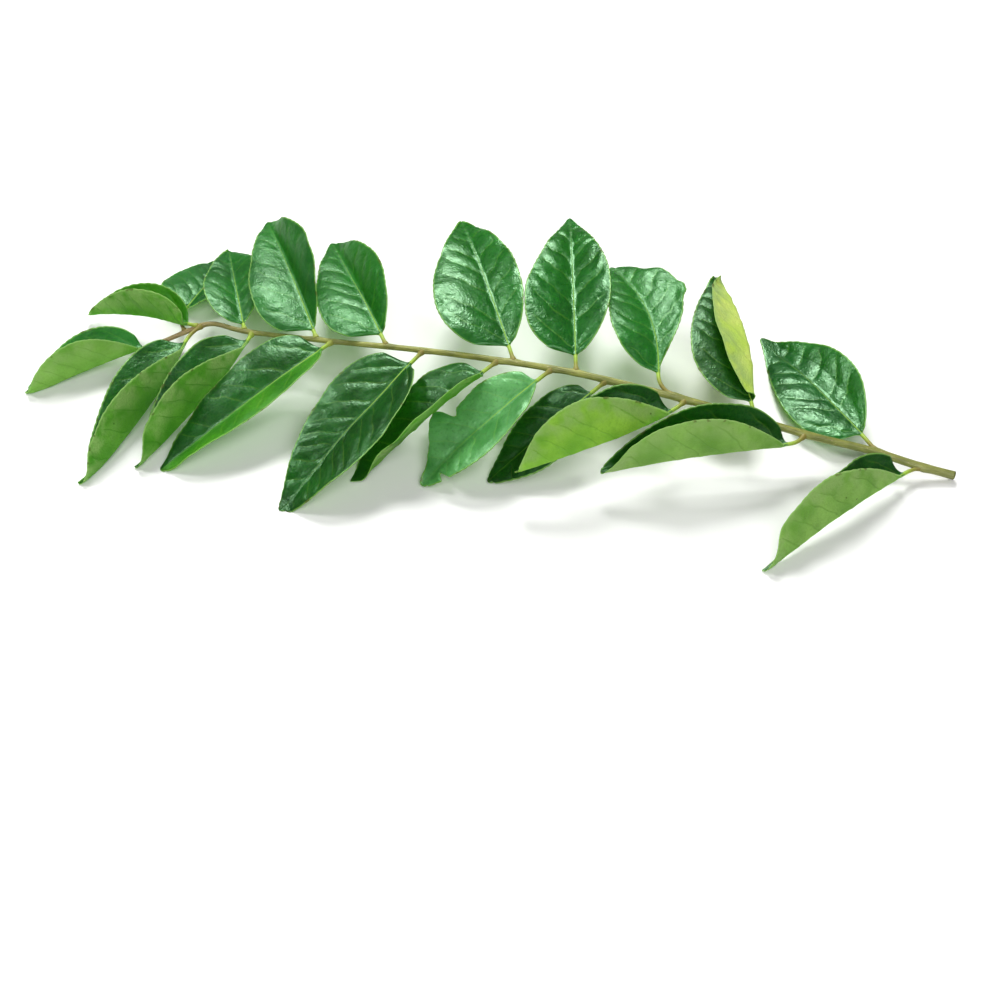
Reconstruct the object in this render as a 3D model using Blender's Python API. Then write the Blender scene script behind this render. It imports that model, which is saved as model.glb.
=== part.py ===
"""Curry leaf sprig: one compound leaf of a curry tree, picked and lying on a table.

A long stem (the rachis) carries leaflets on both sides and one at its tip. The stem
arches over the table like a low bridge. The leaflets on the near side hang down until
their tips touch the table, and those on the far side mostly float level. Every leaflet
is one solid, stalk and blade together, and it starts just clear of the stem's bark.

Frame: +X runs along the stem to its cut end, -Y is the near side, +Z is up, and the
table is Z = 0. "Left" and "right" are what somebody sees who walks from the cut end
to the tip, so the left leaflets are the near ones. The unit in the lists is the
millimetre, and angles are in degrees.
"""
import math
from dataclasses import dataclass

import bmesh
import bpy
import numpy as np

MM = 0.001

# ---------------------------------------------------------------- driving dimensions

GAP = 0.4                     # air left between a leaflet's stalk and the stem
STEM_RADIUS_CUT_END = 1.15
STEM_RADIUS_TIP = 0.65
STEM_STEP = 3.0               # distance between the rings of the stem
STEM_SIDES_RESOLUTION = 2     # eight sides round the stem
STALK_RADIUS = 0.5
BLADE_HALF_THICKNESS = 0.22
SHORTEST_START = 0.5          # nearest that the end leaflet starts to the stem's end
PATH_STEPS = 240              # steps used to add up a leaflet's curved centre line
BASE_SPREAD = 0.05            # share of the blade over which the stalk thins into it
FOLD_SPREAD = 0.045           # share of the blade over which its halves fold up
TIP_FROM = 0.82               # from here on the folds open again towards the tip
TIP_OPENING = 0.40            # and lose this share of their angle
CREASE_GROWS = 0.16           # share of the blade over which a crease reaches its angle
THIN_BELOW = 2.5              # half widths under this have a thinner blade
FOLDED_FROM = 60.0            # a left half that rises more than this makes a boat
THINNEST = 0.25               # as a share of the full thickness
CREASE_SPREAD = 0.12          # share of the half blade over which a crease turns
BLADE_RINGS = 12
STALK_RINGS = 3
AROUND = 8                    # strips across a blade
AROUND_CREASED = 12           # strips across the leaflet that is folded over

# The stem's route, picked so that it lies as a limp stem does: both ends low, the
# middle held up by the stiff leaflets, a slight S in plan and a hook at the tip.
STEM_ROUTE = [
    (118.5, 7.5, 1.5), (108.5, 6.4, 3.6), (96.5, 6.1, 5.8), (83.5, 3.9, 8.8),
    (68.5, 2.3, 12.2), (48.5, 0.5, 16.3), (23.5, 0.3, 17.9), (3.5, 0.1, 17.2),
    (-17.5, -0.1, 15.4), (-43.5, -0.4, 12.2), (-66.5, -0.1, 9.2), (-77.5, 1.7, 7.6),
    (-83.5, -0.5, 5.6), (-90.5, -5.9, 4.0),
]


@dataclass
class Leaflet:
    """One leaflet. Lengths are in millimetres and angles in degrees."""
    name: str
    joint: float              # distance along the stem from its cut end
    length: float             # blade, without its stalk
    width: float              # across the flattened blade
    heading: float            # direction in plan: 0 is +X, 90 is +Y
    lift: float               # slope of the stalk, up is positive
    droop: float              # how far the slope falls from stalk to tip
    sweep: float = 0          # how far the heading turns from blade base to tip
    stalk: float = 5          # stalk length from the middle of the stem
    stalk_turn: float = 0     # heading of the stalk, relative to the blade
    fold_left: float = 12     # rise of the left half from the midrib
    fold_right: float = 12
    curl_left: float = 0      # more rise, spread from the midrib to the left edge
    crease_right: float = 0   # sharp fold in the right half
    crease_at: float = 0      # where it is: 0 at the midrib, 1 at the edge
    widest: float = 0.42      # place of the widest part: 0 at the base, 1 at the tip
    taper: float = 0.95       # above 1 draws the tip out, below 1 fills it
    lobe: float = 0.08        # the half towards the stem's tip is widest this much lower
    lopsided: float = 0       # and this much wider


LEFT_LEAFLETS = [
    Leaflet("leaflet_left_01", 8, 47, 23, -128, 4, 14, stalk=6, stalk_turn=-20,
            fold_left=113, fold_right=46, lobe=0.12, lopsided=-0.14),
    Leaflet("leaflet_left_02", 39, 47, 26, -156, 2, 10, stalk=6, stalk_turn=50,
            fold_left=94, fold_right=60, widest=0.46, lobe=0.06),
    Leaflet("leaflet_left_03", 70, 42, 26, -133, -3, 12, sweep=-22, stalk=5,
            stalk_turn=20, fold_left=112, fold_right=50, widest=0.44, lobe=0.10,
            lopsided=-0.08),
    Leaflet("leaflet_left_04", 90, 34, 16, -132, -23, 6, fold_left=-8, fold_right=10),
    Leaflet("leaflet_left_05", 104, 39, 18, -128, -14, 18, fold_left=18, fold_right=14),
    Leaflet("leaflet_left_06", 118, 44, 21, -129, -14, 18, fold_left=45, fold_right=2,
            curl_left=40, widest=0.36, lobe=0.03),
    Leaflet("leaflet_left_07", 138, 51, 25, -113, -7, 20, sweep=-4, fold_left=28,
            fold_right=6, widest=0.38, taper=0.88, lobe=0.08),
    Leaflet("leaflet_left_08", 163, 52, 23, -121, -3, 20, sweep=-9, stalk=3.5,
            fold_left=28, widest=0.38, lobe=0.09),
    Leaflet("leaflet_left_09", 186, 46, 23, -96, -4, 14, sweep=-26, stalk=3,
            fold_left=103, fold_right=20, widest=0.46, lobe=0.12),
    Leaflet("leaflet_left_10", 203, 31, 18, 180, 6, 26, stalk=3, fold_left=104,
            fold_right=45, widest=0.38, lobe=0),
    Leaflet("leaflet_left_11", 202, 50, 22, -88, -1, 14, sweep=-24, stalk=7.5,
            stalk_turn=-30, fold_left=105, fold_right=20, widest=0.45, lobe=0.12),
]
END_LEAFLET = Leaflet("leaflet_terminal", 218, 33, 21, -140, -1, 14, stalk=4,
                      fold_left=94, fold_right=25, widest=0.45)
RIGHT_LEAFLETS = [
    Leaflet("leaflet_right_01", 20, 46, 23, 132, 2, 20, stalk=6.5, fold_left=-8,
            fold_right=12, crease_right=34, crease_at=0.42, widest=0.38, taper=1.08),
    Leaflet("leaflet_right_02", 52, 44, 24, 113, 14, 18, fold_left=6, fold_right=0,
            crease_right=152, crease_at=0.17, lobe=0.06),
    Leaflet("leaflet_right_03", 73, 42, 22, 100, 12, 20, sweep=40, stalk=8,
            stalk_turn=60, fold_right=10, widest=0.52, lobe=0.13),
    Leaflet("leaflet_right_04", 98, 51, 23, 106, 14, 20, fold_right=24, widest=0.36,
            taper=1.05, lobe=0.06, lopsided=0.12),
    Leaflet("leaflet_right_05", 114, 50, 23, 121, 12, 20, fold_left=8, fold_right=26,
            widest=0.38, lopsided=0.2),
    Leaflet("leaflet_right_06", 148, 43, 23, 128, 4, 14, stalk=4.5, fold_left=6,
            fold_right=54, widest=0.37, lobe=0.1, lopsided=0.1),
    Leaflet("leaflet_right_07", 167.5, 46, 23, 127, 14, 24, stalk=3, fold_left=6,
            fold_right=58, widest=0.4, lobe=0.12, lopsided=0.08),
    Leaflet("leaflet_right_08", 188.5, 33, 18, 120, 4, 14, stalk=2.5, fold_left=20,
            fold_right=20, widest=0.46),
    Leaflet("leaflet_right_09", 207, 29, 19, 88, -2, 18, stalk=11, stalk_turn=45,
            fold_left=8, fold_right=25, lopsided=0.15),
]


# ---------------------------------------------------------------- curves along the stem

def smoothstep(value):
    """Ease from 0 to 1 while the value goes from 0 to 1."""
    value = np.clip(value, 0.0, 1.0)
    return value * value * (3.0 - 2.0 * value)


def smooth_curve(points, steps=24):
    """A smooth curve that passes through every point (Catmull-Rom)."""
    points = np.asarray(points, float)
    before = 2 * points[0] - points[1]
    after = 2 * points[-1] - points[-2]
    padded = np.vstack([before, points, after])
    t = np.linspace(0.0, 1.0, steps, endpoint=False)[:, None]
    pieces = []
    for a, b, c, d in zip(padded, padded[1:], padded[2:], padded[3:]):
        linear = (c - a) * t
        square = (2 * a - 5 * b + 4 * c - d) * t ** 2
        cube = (3 * b - a - 3 * c + d) * t ** 3
        pieces.append(0.5 * (2 * b + linear + square + cube))
    pieces.append(points[-1:])
    return np.vstack(pieces)


class StemLine:
    """The middle line of the stem, read by distance from the cut end."""

    def __init__(self, route):
        self.points = smooth_curve(route)
        lengths = np.linalg.norm(np.diff(self.points, axis=0), axis=1)
        self.distances = np.concatenate([[0.0], np.cumsum(lengths)])
        self.length = float(self.distances[-1])

    def at(self, distance):
        return np.array([np.interp(distance, self.distances, axis)
                         for axis in self.points.T])

    def direction(self, distance):
        step = self.at(distance + 0.5) - self.at(distance - 0.5)
        return step / np.linalg.norm(step)

    def radius(self, distance):
        share = distance / self.length
        return STEM_RADIUS_CUT_END + (STEM_RADIUS_TIP - STEM_RADIUS_CUT_END) * share


# ---------------------------------------------------------------- shape of a leaflet

def outline(u, widest, taper):
    """Half width of a blade as a share of its widest: a rounded base, a drawn-out tip."""
    base_power = taper * widest / (1.0 - widest)
    u = np.clip(u, 0.0, 1.0)
    return (u / widest) ** base_power * ((1.0 - u) / (1.0 - widest)) ** taper


def centre_line(leaf, base, fractions):
    """Points and three directions (forward, left, up) along the stalk and the midrib."""
    fine = np.linspace(0.0, 1.0, PATH_STEPS + 1)
    total = leaf.stalk + leaf.length
    stalk_share = leaf.stalk / total
    along_blade = np.clip((fine - stalk_share) / (1.0 - stalk_share), 0.0, 1.0)
    bend = leaf.stalk_turn * (1.0 - smoothstep(fine / (1.15 * stalk_share)))
    heading = np.radians(leaf.heading + leaf.sweep * along_blade + bend)
    slope = np.radians(leaf.lift - leaf.droop * fine)
    forward = np.stack([np.cos(heading) * np.cos(slope),
                        np.sin(heading) * np.cos(slope), np.sin(slope)], axis=1)
    steps = (forward[1:] + forward[:-1]) / 2 * total / PATH_STEPS
    points = base + np.vstack([np.zeros(3), np.cumsum(steps, axis=0)])

    def read(values):
        return np.stack([np.interp(fractions, fine, axis) for axis in values.T], axis=1)

    forward_here = read(forward)
    forward_here /= np.linalg.norm(forward_here, axis=1)[:, None]
    heading_here = np.interp(fractions, fine, heading)
    left = np.stack([-np.sin(heading_here), np.cos(heading_here),
                     np.zeros_like(heading_here)], axis=1)
    return read(points), forward_here, left, np.cross(forward_here, left)


def half_section(reach, fold, curl, crease, crease_at):
    """Bend of one half of the blade: how far sideways and up each share of its width is."""
    fine = np.linspace(0.0, 1.0, 101)
    slope = fold + curl * fine + crease * smoothstep((fine - crease_at) / CREASE_SPREAD)
    middle = np.radians((slope[1:] + slope[:-1]) / 2)
    sideways = np.concatenate([[0.0], np.cumsum(np.cos(middle)) / 100])
    upward = np.concatenate([[0.0], np.cumsum(np.sin(middle)) / 100])
    return np.interp(reach, fine, sideways), np.interp(reach, fine, upward)


def middle_section(leaf, u, strips, tip_side):
    """The middle of the blade's thickness at u, from right to left edge, as (left, up)."""
    spread = float(smoothstep(u / FOLD_SPREAD))
    spread *= 1.0 - TIP_OPENING * float(smoothstep((u - TIP_FROM) / (1.0 - TIP_FROM)))
    creased = float(smoothstep(u / CREASE_GROWS)) * spread
    narrowest = STALK_RADIUS * (1.0 - 0.6 * float(smoothstep(u)))
    middle = []
    for position in -np.cos(np.linspace(0.0, math.pi, strips + 1)):
        is_left = position > 0
        sign = 1.0 if is_left else -1.0
        lower = leaf.lobe if sign == tip_side else -leaf.lobe
        share = 1.0 + (leaf.lopsided if sign == tip_side else -leaf.lopsided)
        half_width = leaf.width / 2 * share * outline(u, leaf.widest - lower, leaf.taper)
        half_width = max(float(half_width), narrowest)
        fold = leaf.fold_left if is_left else leaf.fold_right
        curl = leaf.curl_left if is_left else 0.0
        crease = 0.0 if is_left else leaf.crease_right
        sideways, upward = half_section(abs(position), fold * spread, curl * spread,
                                        crease * creased, leaf.crease_at)
        middle.append((sign * sideways * half_width, upward * half_width))
    return np.array(middle)


def ring_section(leaf, u, strips, tip_side):
    """One closed loop round the blade at u, as (left, up) pairs in millimetres.

    u below 0 is the stalk, where the loop is a circle. The loop runs over the upper
    surface from the right edge to the left one and back under the lower surface.
    """
    middle = middle_section(leaf, u, strips, tip_side)
    along = np.diff(middle, axis=0)
    along /= np.linalg.norm(along, axis=1)[:, None]
    facing = np.stack([-along[:, 1], along[:, 0]], axis=1)
    normals = np.vstack([facing[:1], facing[1:] + facing[:-1], facing[-1:]])
    normals /= np.linalg.norm(normals, axis=1)[:, None]
    spread = float(smoothstep(u / BASE_SPREAD))
    half_width = leaf.width / 2 * float(outline(u, leaf.widest, leaf.taper))
    blade_thickness = BLADE_HALF_THICKNESS * min(max(half_width / THIN_BELOW, THINNEST), 1.0)
    thickness = STALK_RADIUS + (blade_thickness - STALK_RADIUS) * spread
    around = np.sin(np.linspace(0.0, math.pi, strips + 1))[:, None]
    upper = middle + thickness * around * normals
    lower = middle - thickness * around * normals
    return np.vstack([upper, lower[-2:0:-1]])


def leaflet_rings(leaf, stem):
    """All loops of a leaflet from its stalk to just before the tip, and the tip point."""
    base = stem.at(min(leaf.joint, stem.length))
    total = leaf.stalk + leaf.length
    blade_start = leaf.stalk / total
    if leaf is END_LEAFLET:
        clear_of_stem = SHORTEST_START / total
    else:
        stalk_direction = centre_line(leaf, base, np.array([0.0]))[1][0]
        cosine = abs(float(stalk_direction @ stem.direction(leaf.joint)))
        sine = math.sqrt(1.0 - cosine ** 2)
        clear = (stem.radius(leaf.joint) + GAP + STALK_RADIUS * cosine) / sine
        clear_of_stem = clear / total
    stalk = np.linspace(clear_of_stem, blade_start, STALK_RINGS + 1)[:-1]
    u = (1.0 - np.cos(np.linspace(0.25, math.pi, BLADE_RINGS + 1))) / 2
    u = u / u[-1]
    fractions = np.concatenate([stalk, blade_start + (1.0 - blade_start) * u])
    blade_place = (fractions - blade_start) / (1.0 - blade_start)
    points, _, left, up = centre_line(leaf, base, fractions)
    tip_side = -1.0 if leaf.heading < 0 or leaf.heading >= 180 else 1.0
    strips = AROUND_CREASED if leaf.crease_right else AROUND
    rings = []
    for point, side, rise, place in zip(points[:-1], left, up, blade_place):
        section = ring_section(leaf, place, strips, tip_side)
        rings.append(np.array([point + across * side + height * rise
                               for across, height in section]))
    return base, rings, points[-1]


def lay_on_table(ring, folded):
    """Keep a loop above the table: a folded blade stands on its keel, a flat one lies down."""
    lowest = min(position[2] for position in ring)
    if lowest >= 0.0:
        return ring
    ring = np.array(ring)
    if folded:
        ring[:, 2] -= lowest
        return ring
    half = len(ring) // 2
    thickness = np.abs(ring[1:half, 2] - ring[:half:-1, 2])
    ring[:, 2] = np.maximum(ring[:, 2], 0.0)
    ring[1:half, 2] = np.maximum(ring[1:half, 2], ring[:half:-1, 2] + thickness)
    return ring


def leaflet_mesh(leaf, stem):
    """Skin the loops into one closed mesh whose origin is the joint on the stem."""
    base, rings, tip = leaflet_rings(leaf, stem)
    folded = leaf.fold_left + leaf.curl_left > FOLDED_FROM
    rings = [lay_on_table(ring, folded) for ring in rings]
    mesh = bpy.data.meshes.new(leaf.name)
    bm = bmesh.new()
    loops = [[bm.verts.new((position - base) * MM) for position in ring] for ring in rings]
    tip[2] = max(tip[2], float(np.mean(rings[-1][:, 2])))
    tip_vertex = bm.verts.new((tip - base) * MM)
    bm.faces.new(loops[0])
    for near, far in zip(loops, loops[1:]):
        for index in range(len(near)):
            following = (index + 1) % len(near)
            bm.faces.new((near[index], far[index], far[following], near[following]))
    last = loops[-1]
    for index in range(len(last)):
        bm.faces.new((last[index], tip_vertex, last[(index + 1) % len(last)]))
    bmesh.ops.triangulate(bm, faces=bm.faces)
    bmesh.ops.recalc_face_normals(bm, faces=bm.faces)
    if bm.calc_volume(signed=True) < 0:
        bmesh.ops.reverse_faces(bm, faces=bm.faces)
    bm.to_mesh(mesh)
    bm.free()
    mesh.shade_smooth()
    return mesh, base


# ---------------------------------------------------------------- objects and materials

def principled(name, colour, roughness):
    material = bpy.data.materials.new(name)
    material.use_nodes = True
    shader = material.node_tree.nodes["Principled BSDF"]
    shader.inputs["Base Color"].default_value = (*colour, 1.0)
    shader.inputs["Roughness"].default_value = roughness
    shader.inputs["Metallic"].default_value = 0.0
    return material


def add_stem(stem, parent):
    """The stem: a tapering tube with closed ends, along the route."""
    data = bpy.data.curves.new("stem", "CURVE")
    data.dimensions = "3D"
    data.bevel_depth = STEM_RADIUS_CUT_END * MM
    data.bevel_resolution = STEM_SIDES_RESOLUTION
    data.use_fill_caps = True
    rings = round(stem.length / STEM_STEP) + 1
    spline = data.splines.new("POLY")
    spline.points.add(rings - 1)
    for point, distance in zip(spline.points, np.linspace(0.0, stem.length, rings)):
        point.co = (*(stem.at(distance) * MM), 1.0)
        point.radius = stem.radius(distance) / STEM_RADIUS_CUT_END
    data.materials.append(principled("stem_bark", (0.26, 0.24, 0.09), 0.55))
    obj = bpy.data.objects.new("stem", data)
    obj.parent = parent
    bpy.context.collection.objects.link(obj)


def add_leaflet(leaf, stem, parent):
    """One leaflet, placed at its joint. The boat-shaped ones show their pale underside."""
    mesh, base = leaflet_mesh(leaf, stem)
    shows_underside = leaf.fold_left > 90
    colour = (0.20, 0.36, 0.08) if shows_underside else (0.015, 0.11, 0.03)
    roughness = 0.55 if shows_underside else 0.35
    mesh.materials.append(principled(leaf.name + "_blade", colour, roughness))
    obj = bpy.data.objects.new(leaf.name, mesh)
    obj.location = base * MM
    obj.parent = parent
    bpy.context.collection.objects.link(obj)


def main():
    for obj in list(bpy.data.objects):
        bpy.data.objects.remove(obj)
    stem = StemLine(STEM_ROUTE)
    sprig = bpy.data.objects.new("sprig", None)
    bpy.context.collection.objects.link(sprig)
    add_stem(stem, sprig)
    for leaf in LEFT_LEAFLETS + [END_LEAFLET] + RIGHT_LEAFLETS:
        add_leaflet(leaf, stem, sprig)


main()
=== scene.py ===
# %% [markdown]
# # A curry leaf sprig
#
# What a cook calls a sprig of curry leaves is one single leaf of the curry tree. A thin stem
# runs through its middle and carries about twenty leaflets, each on a short stalk of its own.
# Picked and laid on a table, the stem makes a low arch. The leaflets on the near side hang
# down to the table, and several of them have folded up like little boats, so that their pale
# undersides show. Those on the far side float almost level and shine.
#
# This lesson builds it in Blender around a plain engineering model, which fixes where the stem
# and each leaflet are. Every length below is in millimetres until the moment a mesh is made.

# %% Load the frame and keep its box
import math
from dataclasses import dataclass

import bpy
import numpy as np
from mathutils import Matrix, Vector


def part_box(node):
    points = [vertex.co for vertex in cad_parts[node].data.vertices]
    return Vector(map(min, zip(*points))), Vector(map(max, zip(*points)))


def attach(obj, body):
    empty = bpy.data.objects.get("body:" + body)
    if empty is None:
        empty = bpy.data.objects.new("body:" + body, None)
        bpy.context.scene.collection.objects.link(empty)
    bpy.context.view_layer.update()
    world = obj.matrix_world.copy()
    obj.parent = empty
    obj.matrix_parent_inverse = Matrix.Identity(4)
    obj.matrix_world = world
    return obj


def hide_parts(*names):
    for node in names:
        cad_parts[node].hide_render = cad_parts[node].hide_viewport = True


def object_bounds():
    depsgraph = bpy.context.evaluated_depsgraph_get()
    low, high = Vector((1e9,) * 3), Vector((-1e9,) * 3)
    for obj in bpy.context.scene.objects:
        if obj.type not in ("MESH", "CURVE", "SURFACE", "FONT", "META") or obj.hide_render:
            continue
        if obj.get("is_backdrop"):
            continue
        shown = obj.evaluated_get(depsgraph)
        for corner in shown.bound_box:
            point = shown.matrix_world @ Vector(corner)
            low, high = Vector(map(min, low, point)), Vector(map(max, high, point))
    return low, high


MM = 0.001
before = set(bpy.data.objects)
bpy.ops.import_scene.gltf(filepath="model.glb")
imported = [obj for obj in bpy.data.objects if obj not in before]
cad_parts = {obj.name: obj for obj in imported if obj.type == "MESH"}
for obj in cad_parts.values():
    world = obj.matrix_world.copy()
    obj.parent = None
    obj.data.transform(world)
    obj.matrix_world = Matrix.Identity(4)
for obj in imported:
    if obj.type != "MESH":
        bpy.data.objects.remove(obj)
cad_low, cad_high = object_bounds()
cad_size = [round((high - low) / MM, 1) for low, high in zip(cad_low, cad_high)]
print("the plain model measures", cad_size, "mm and has", len(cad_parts), "pieces")

# %% [markdown]
# ## Curves that nature would draw
#
# Nothing on a plant changes suddenly, so two small helpers do most of the shaping here. One
# eases a value from 0 to 1. The other threads a smooth curve through a handful of points, and
# a Catmull-Rom curve is the simplest kind that really passes through every one of them.

# %% Easing and threading helpers
def ease(value, low=0.0, high=1.0):
    """0 below low, 1 above high, and a smooth step between them."""
    share = np.clip((value - low) / (high - low), 0.0, 1.0)
    return share * share * (3.0 - 2.0 * share)


def thread(points, steps=24):
    """A smooth curve through every point."""
    points = np.asarray(points, float)
    padded = np.vstack([2 * points[0] - points[1], points, 2 * points[-1] - points[-2]])
    t = np.linspace(0.0, 1.0, steps, endpoint=False)[:, None]
    runs = []
    for a, b, c, d in zip(padded, padded[1:], padded[2:], padded[3:]):
        bend = (2 * a - 5 * b + 4 * c - d) * t ** 2 + (3 * b - a - 3 * c + d) * t ** 3
        runs.append(0.5 * (2 * b + (c - a) * t + bend))
    return np.vstack(runs + [points[-1:]])


print("a quarter of the way along, an ease has reached", round(float(ease(0.25)), 2))

# %% [markdown]
# Real leaves are never quite regular either. This helper makes soft hills and hollows: it
# puts random heights on the corners of a grid and eases between them. The seed makes the same
# hills come out on every run, and the cell size says how far apart they are.

# %% Soft hills and hollows
HILL_GRID = 64                # corners to a side, after which the hills repeat


def hills(x, y, cell, seed):
    """Smooth random heights between -1 and 1, about one cell apart."""
    heights = np.random.default_rng(seed).uniform(-1.0, 1.0, (HILL_GRID, HILL_GRID))
    column, row = np.floor(x / cell).astype(int), np.floor(y / cell).astype(int)
    across, along = ease(x / cell - column), ease(y / cell - row)

    def corner(i, j):
        return heights[(column + i) % HILL_GRID, (row + j) % HILL_GRID]

    near = corner(0, 0) * (1 - across) + corner(1, 0) * across
    far = corner(0, 1) * (1 - across) + corner(1, 1) * across
    return near * (1 - along) + far * along


sample = hills(np.arange(100.0), np.zeros(100), 7.0, 1)
print(f"a sample of the hills lies between {sample.min():.2f} and {sample.max():.2f}")

# %% [markdown]
# ## Where the stem runs
#
# The stem is a limp rod that lies on its own leaflets: both ends are low, the middle is held
# up, it bends a little from side to side, and it hooks at the tip. These are the same points
# that the plain model was built on. Everything else on the sprig is placed by its distance
# along this line from the cut end.

# %% The stem's middle line
STEM_ROUTE = [
    (118.5, 7.5, 1.5), (108.5, 6.4, 3.6), (96.5, 6.1, 5.8), (83.5, 3.9, 8.8),
    (68.5, 2.3, 12.2), (48.5, 0.5, 16.3), (23.5, 0.3, 17.9), (3.5, 0.1, 17.2),
    (-17.5, -0.1, 15.4), (-43.5, -0.4, 12.2), (-66.5, -0.1, 9.2), (-77.5, 1.7, 7.6),
    (-83.5, -0.5, 5.6), (-90.5, -5.9, 4.0),
]
STEM_RADIUS_CUT_END = 1.15
STEM_RADIUS_TIP = 0.65
SIGHT = 0.5                   # the direction is read between points this far to each side


class StemLine:
    """The middle line of the stem, read by distance from the cut end."""

    def __init__(self, route):
        self.points = thread(route)
        steps = np.linalg.norm(np.diff(self.points, axis=0), axis=1)
        self.distances = np.concatenate([[0.0], np.cumsum(steps)])
        self.length = float(self.distances[-1])

    def at(self, distance):
        return np.array([np.interp(distance, self.distances, axis)
                         for axis in self.points.T])

    def direction(self, distance):
        step = self.at(distance + SIGHT) - self.at(distance - SIGHT)
        return step / np.linalg.norm(step)

    def radius(self, distance):
        share = distance / self.length
        return STEM_RADIUS_CUT_END + (STEM_RADIUS_TIP - STEM_RADIUS_CUT_END) * share


stem = StemLine(STEM_ROUTE)
print(f"the stem is {stem.length:.0f} mm long")
for name, corner in zip(("lowest", "highest"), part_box("stem")):
    print(f"  its solid's {name} corner is at", [round(c / MM, 1) for c in corner], "mm")

# %% [markdown]
# ## The leaflets, one row each
#
# Every leaflet is described the way a botanist might note it down: where it joins the stem,
# how long and wide its blade is, which way it points, how it droops, and how far each half is
# folded up from the midrib. The last few values belong to the finish: how strongly the blade
# is puckered between its veins, how wavy its edge is, which skin it wears and how many side
# veins it has. "Left" and "right" are as seen by somebody walking along the leaflet from its
# stalk to its tip. A table of rows is easier to compare and correct than twenty-one shapes
# modelled one after another.

# %% What one row holds
@dataclass
class Leaflet:
    """One leaflet. Lengths are in millimetres and angles in degrees."""
    name: str
    joint: float              # distance along the stem from its cut end
    length: float             # blade, without its stalk
    width: float              # across the flattened blade
    heading: float            # direction in plan: 0 is +X, 90 is +Y
    lift: float               # slope of the stalk, up is positive
    droop: float              # how far the slope falls from stalk to tip
    sweep: float = 0          # how far the heading turns from blade base to tip
    stalk: float = 5          # stalk length from the middle of the stem
    stalk_turn: float = 0     # heading of the stalk, relative to the blade
    fold_left: float = 12     # rise of the left half from the midrib
    fold_right: float = 12
    curl_left: float = 0      # more rise, spread from the midrib to the left edge
    crease_right: float = 0   # sharp fold in the right half
    crease_at: float = 0      # where it is: 0 at the midrib, 1 at the edge
    widest: float = 0.42      # place of the widest part: 0 at the base, 1 at the tip
    taper: float = 0.95       # above 1 draws the tip out, below 1 fills it
    lobe: float = 0.08        # the half towards the stem's tip is widest this much lower
    lopsided: float = 0       # and this much wider
    bow: float = 22           # how much each half arches between midrib and edge
    pucker: float = 0.28      # height of the cushions between the side veins
    wave: float = 0.35        # height of the waves along the edge
    veins: int = 6            # side veins on each side
    skin: str = "satin"       # which upper skin it wears
    left_skin: str = ""       # another on its left half: a lighter copy, painted light where that half catches more
    bites: tuple = ()         # nicks in the edge: (side, place, reach, depth), where
                              # side 1 is left and a depth below 0 makes a bulge


# %% The near leaflets
NEAR_LEAFLETS = [
    Leaflet("leaflet_left_01", 8, 47, 23, -128, 4, 14, stalk=6, stalk_turn=-20,
            fold_left=113, fold_right=46, lobe=0.12, lopsided=-0.14, bow=-30,
            pucker=0.28, wave=0.4, skin="shade", bites=((-1, 0.98, 0.2, 0.9),)),
    Leaflet("leaflet_left_02", 39, 47, 26, -156, 2, 10, stalk=6, stalk_turn=50,
            fold_left=94, fold_right=60, widest=0.46, lobe=0.06, bow=-30, pucker=0.28,
            skin="shade"),
    Leaflet("leaflet_left_03", 70, 42, 26, -133, -3, 12, sweep=-22, stalk=5,
            stalk_turn=20, fold_left=112, fold_right=50, widest=0.44, lobe=0.10,
            lopsided=-0.08, bow=-34, pucker=0.28, skin="shade",
            bites=((-1, 0.98, 0.22, 0.9),)),
    Leaflet("leaflet_left_04", 90, 34, 16, -132, -23, 6, fold_left=-8, fold_right=10,
            skin="shade"),
    # its pale skin is a painted sheen: the whole blade is coloured as if lit by the side light
    Leaflet("leaflet_left_05", 104, 39, 18, -128, -14, 18, fold_left=18, fold_right=14,
            pucker=0.2, skin="painted_sheen",
            bites=((-1, 0.545, 0.03, 0.2), (-1, 0.66, 0.09, -0.65),
                   (-1, 0.8, 0.07, -0.25), (1, 0.86, 0.018, 0.6))),
    Leaflet("leaflet_left_06", 118, 44, 21, -129, -14, 18, fold_left=45, fold_right=2,
            curl_left=40, widest=0.36, lobe=0.03, pucker=0.34, skin="deep"),
    Leaflet("leaflet_left_07", 138, 51, 25, -113, -7, 20, sweep=-4, fold_left=28,
            fold_right=6, widest=0.38, taper=0.88, lobe=0.08, pucker=0.42, veins=8,
            skin="deep"),
    # its near, left half wears painted light, a brighter copy of its dark skin
    Leaflet("leaflet_left_08", 163, 52, 23, -121, -3, 20, sweep=-9, stalk=3.5,
            fold_left=28, widest=0.38, lobe=0.09, pucker=0.22, skin="deep",
            left_skin="painted_light", bites=((1, 0.5, 0.42, 0.3),)),
    Leaflet("leaflet_left_09", 186, 46, 23, -96, -4, 14, sweep=-26, stalk=3,
            fold_left=103, fold_right=20, widest=0.46, lobe=0.12, bow=-20, pucker=0.12,
            skin="deep", bites=((-1, 0.99, 0.12, 0.9),)),
    Leaflet("leaflet_left_10", 203, 31, 18, 180, 6, 26, stalk=3, fold_left=104,
            fold_right=45, widest=0.38, lobe=0, bow=-20, pucker=0.28, skin="painted_light"),
    Leaflet("leaflet_left_11", 202, 50, 22, -88, -1, 14, sweep=-24, stalk=7.5,
            stalk_turn=-30, fold_left=105, fold_right=20, widest=0.45, lobe=0.12, bow=-20,
            pucker=0.12, skin="deep", bites=((-1, 0.99, 0.12, 0.9),)),
]
END_LEAFLET = Leaflet("leaflet_terminal", 218, 33, 21, -140, -1, 14, stalk=4,
                      fold_left=94, fold_right=25, widest=0.45, bow=-20, pucker=0.12)
print(len(NEAR_LEAFLETS), "leaflets on the near side and one at the end")

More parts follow.
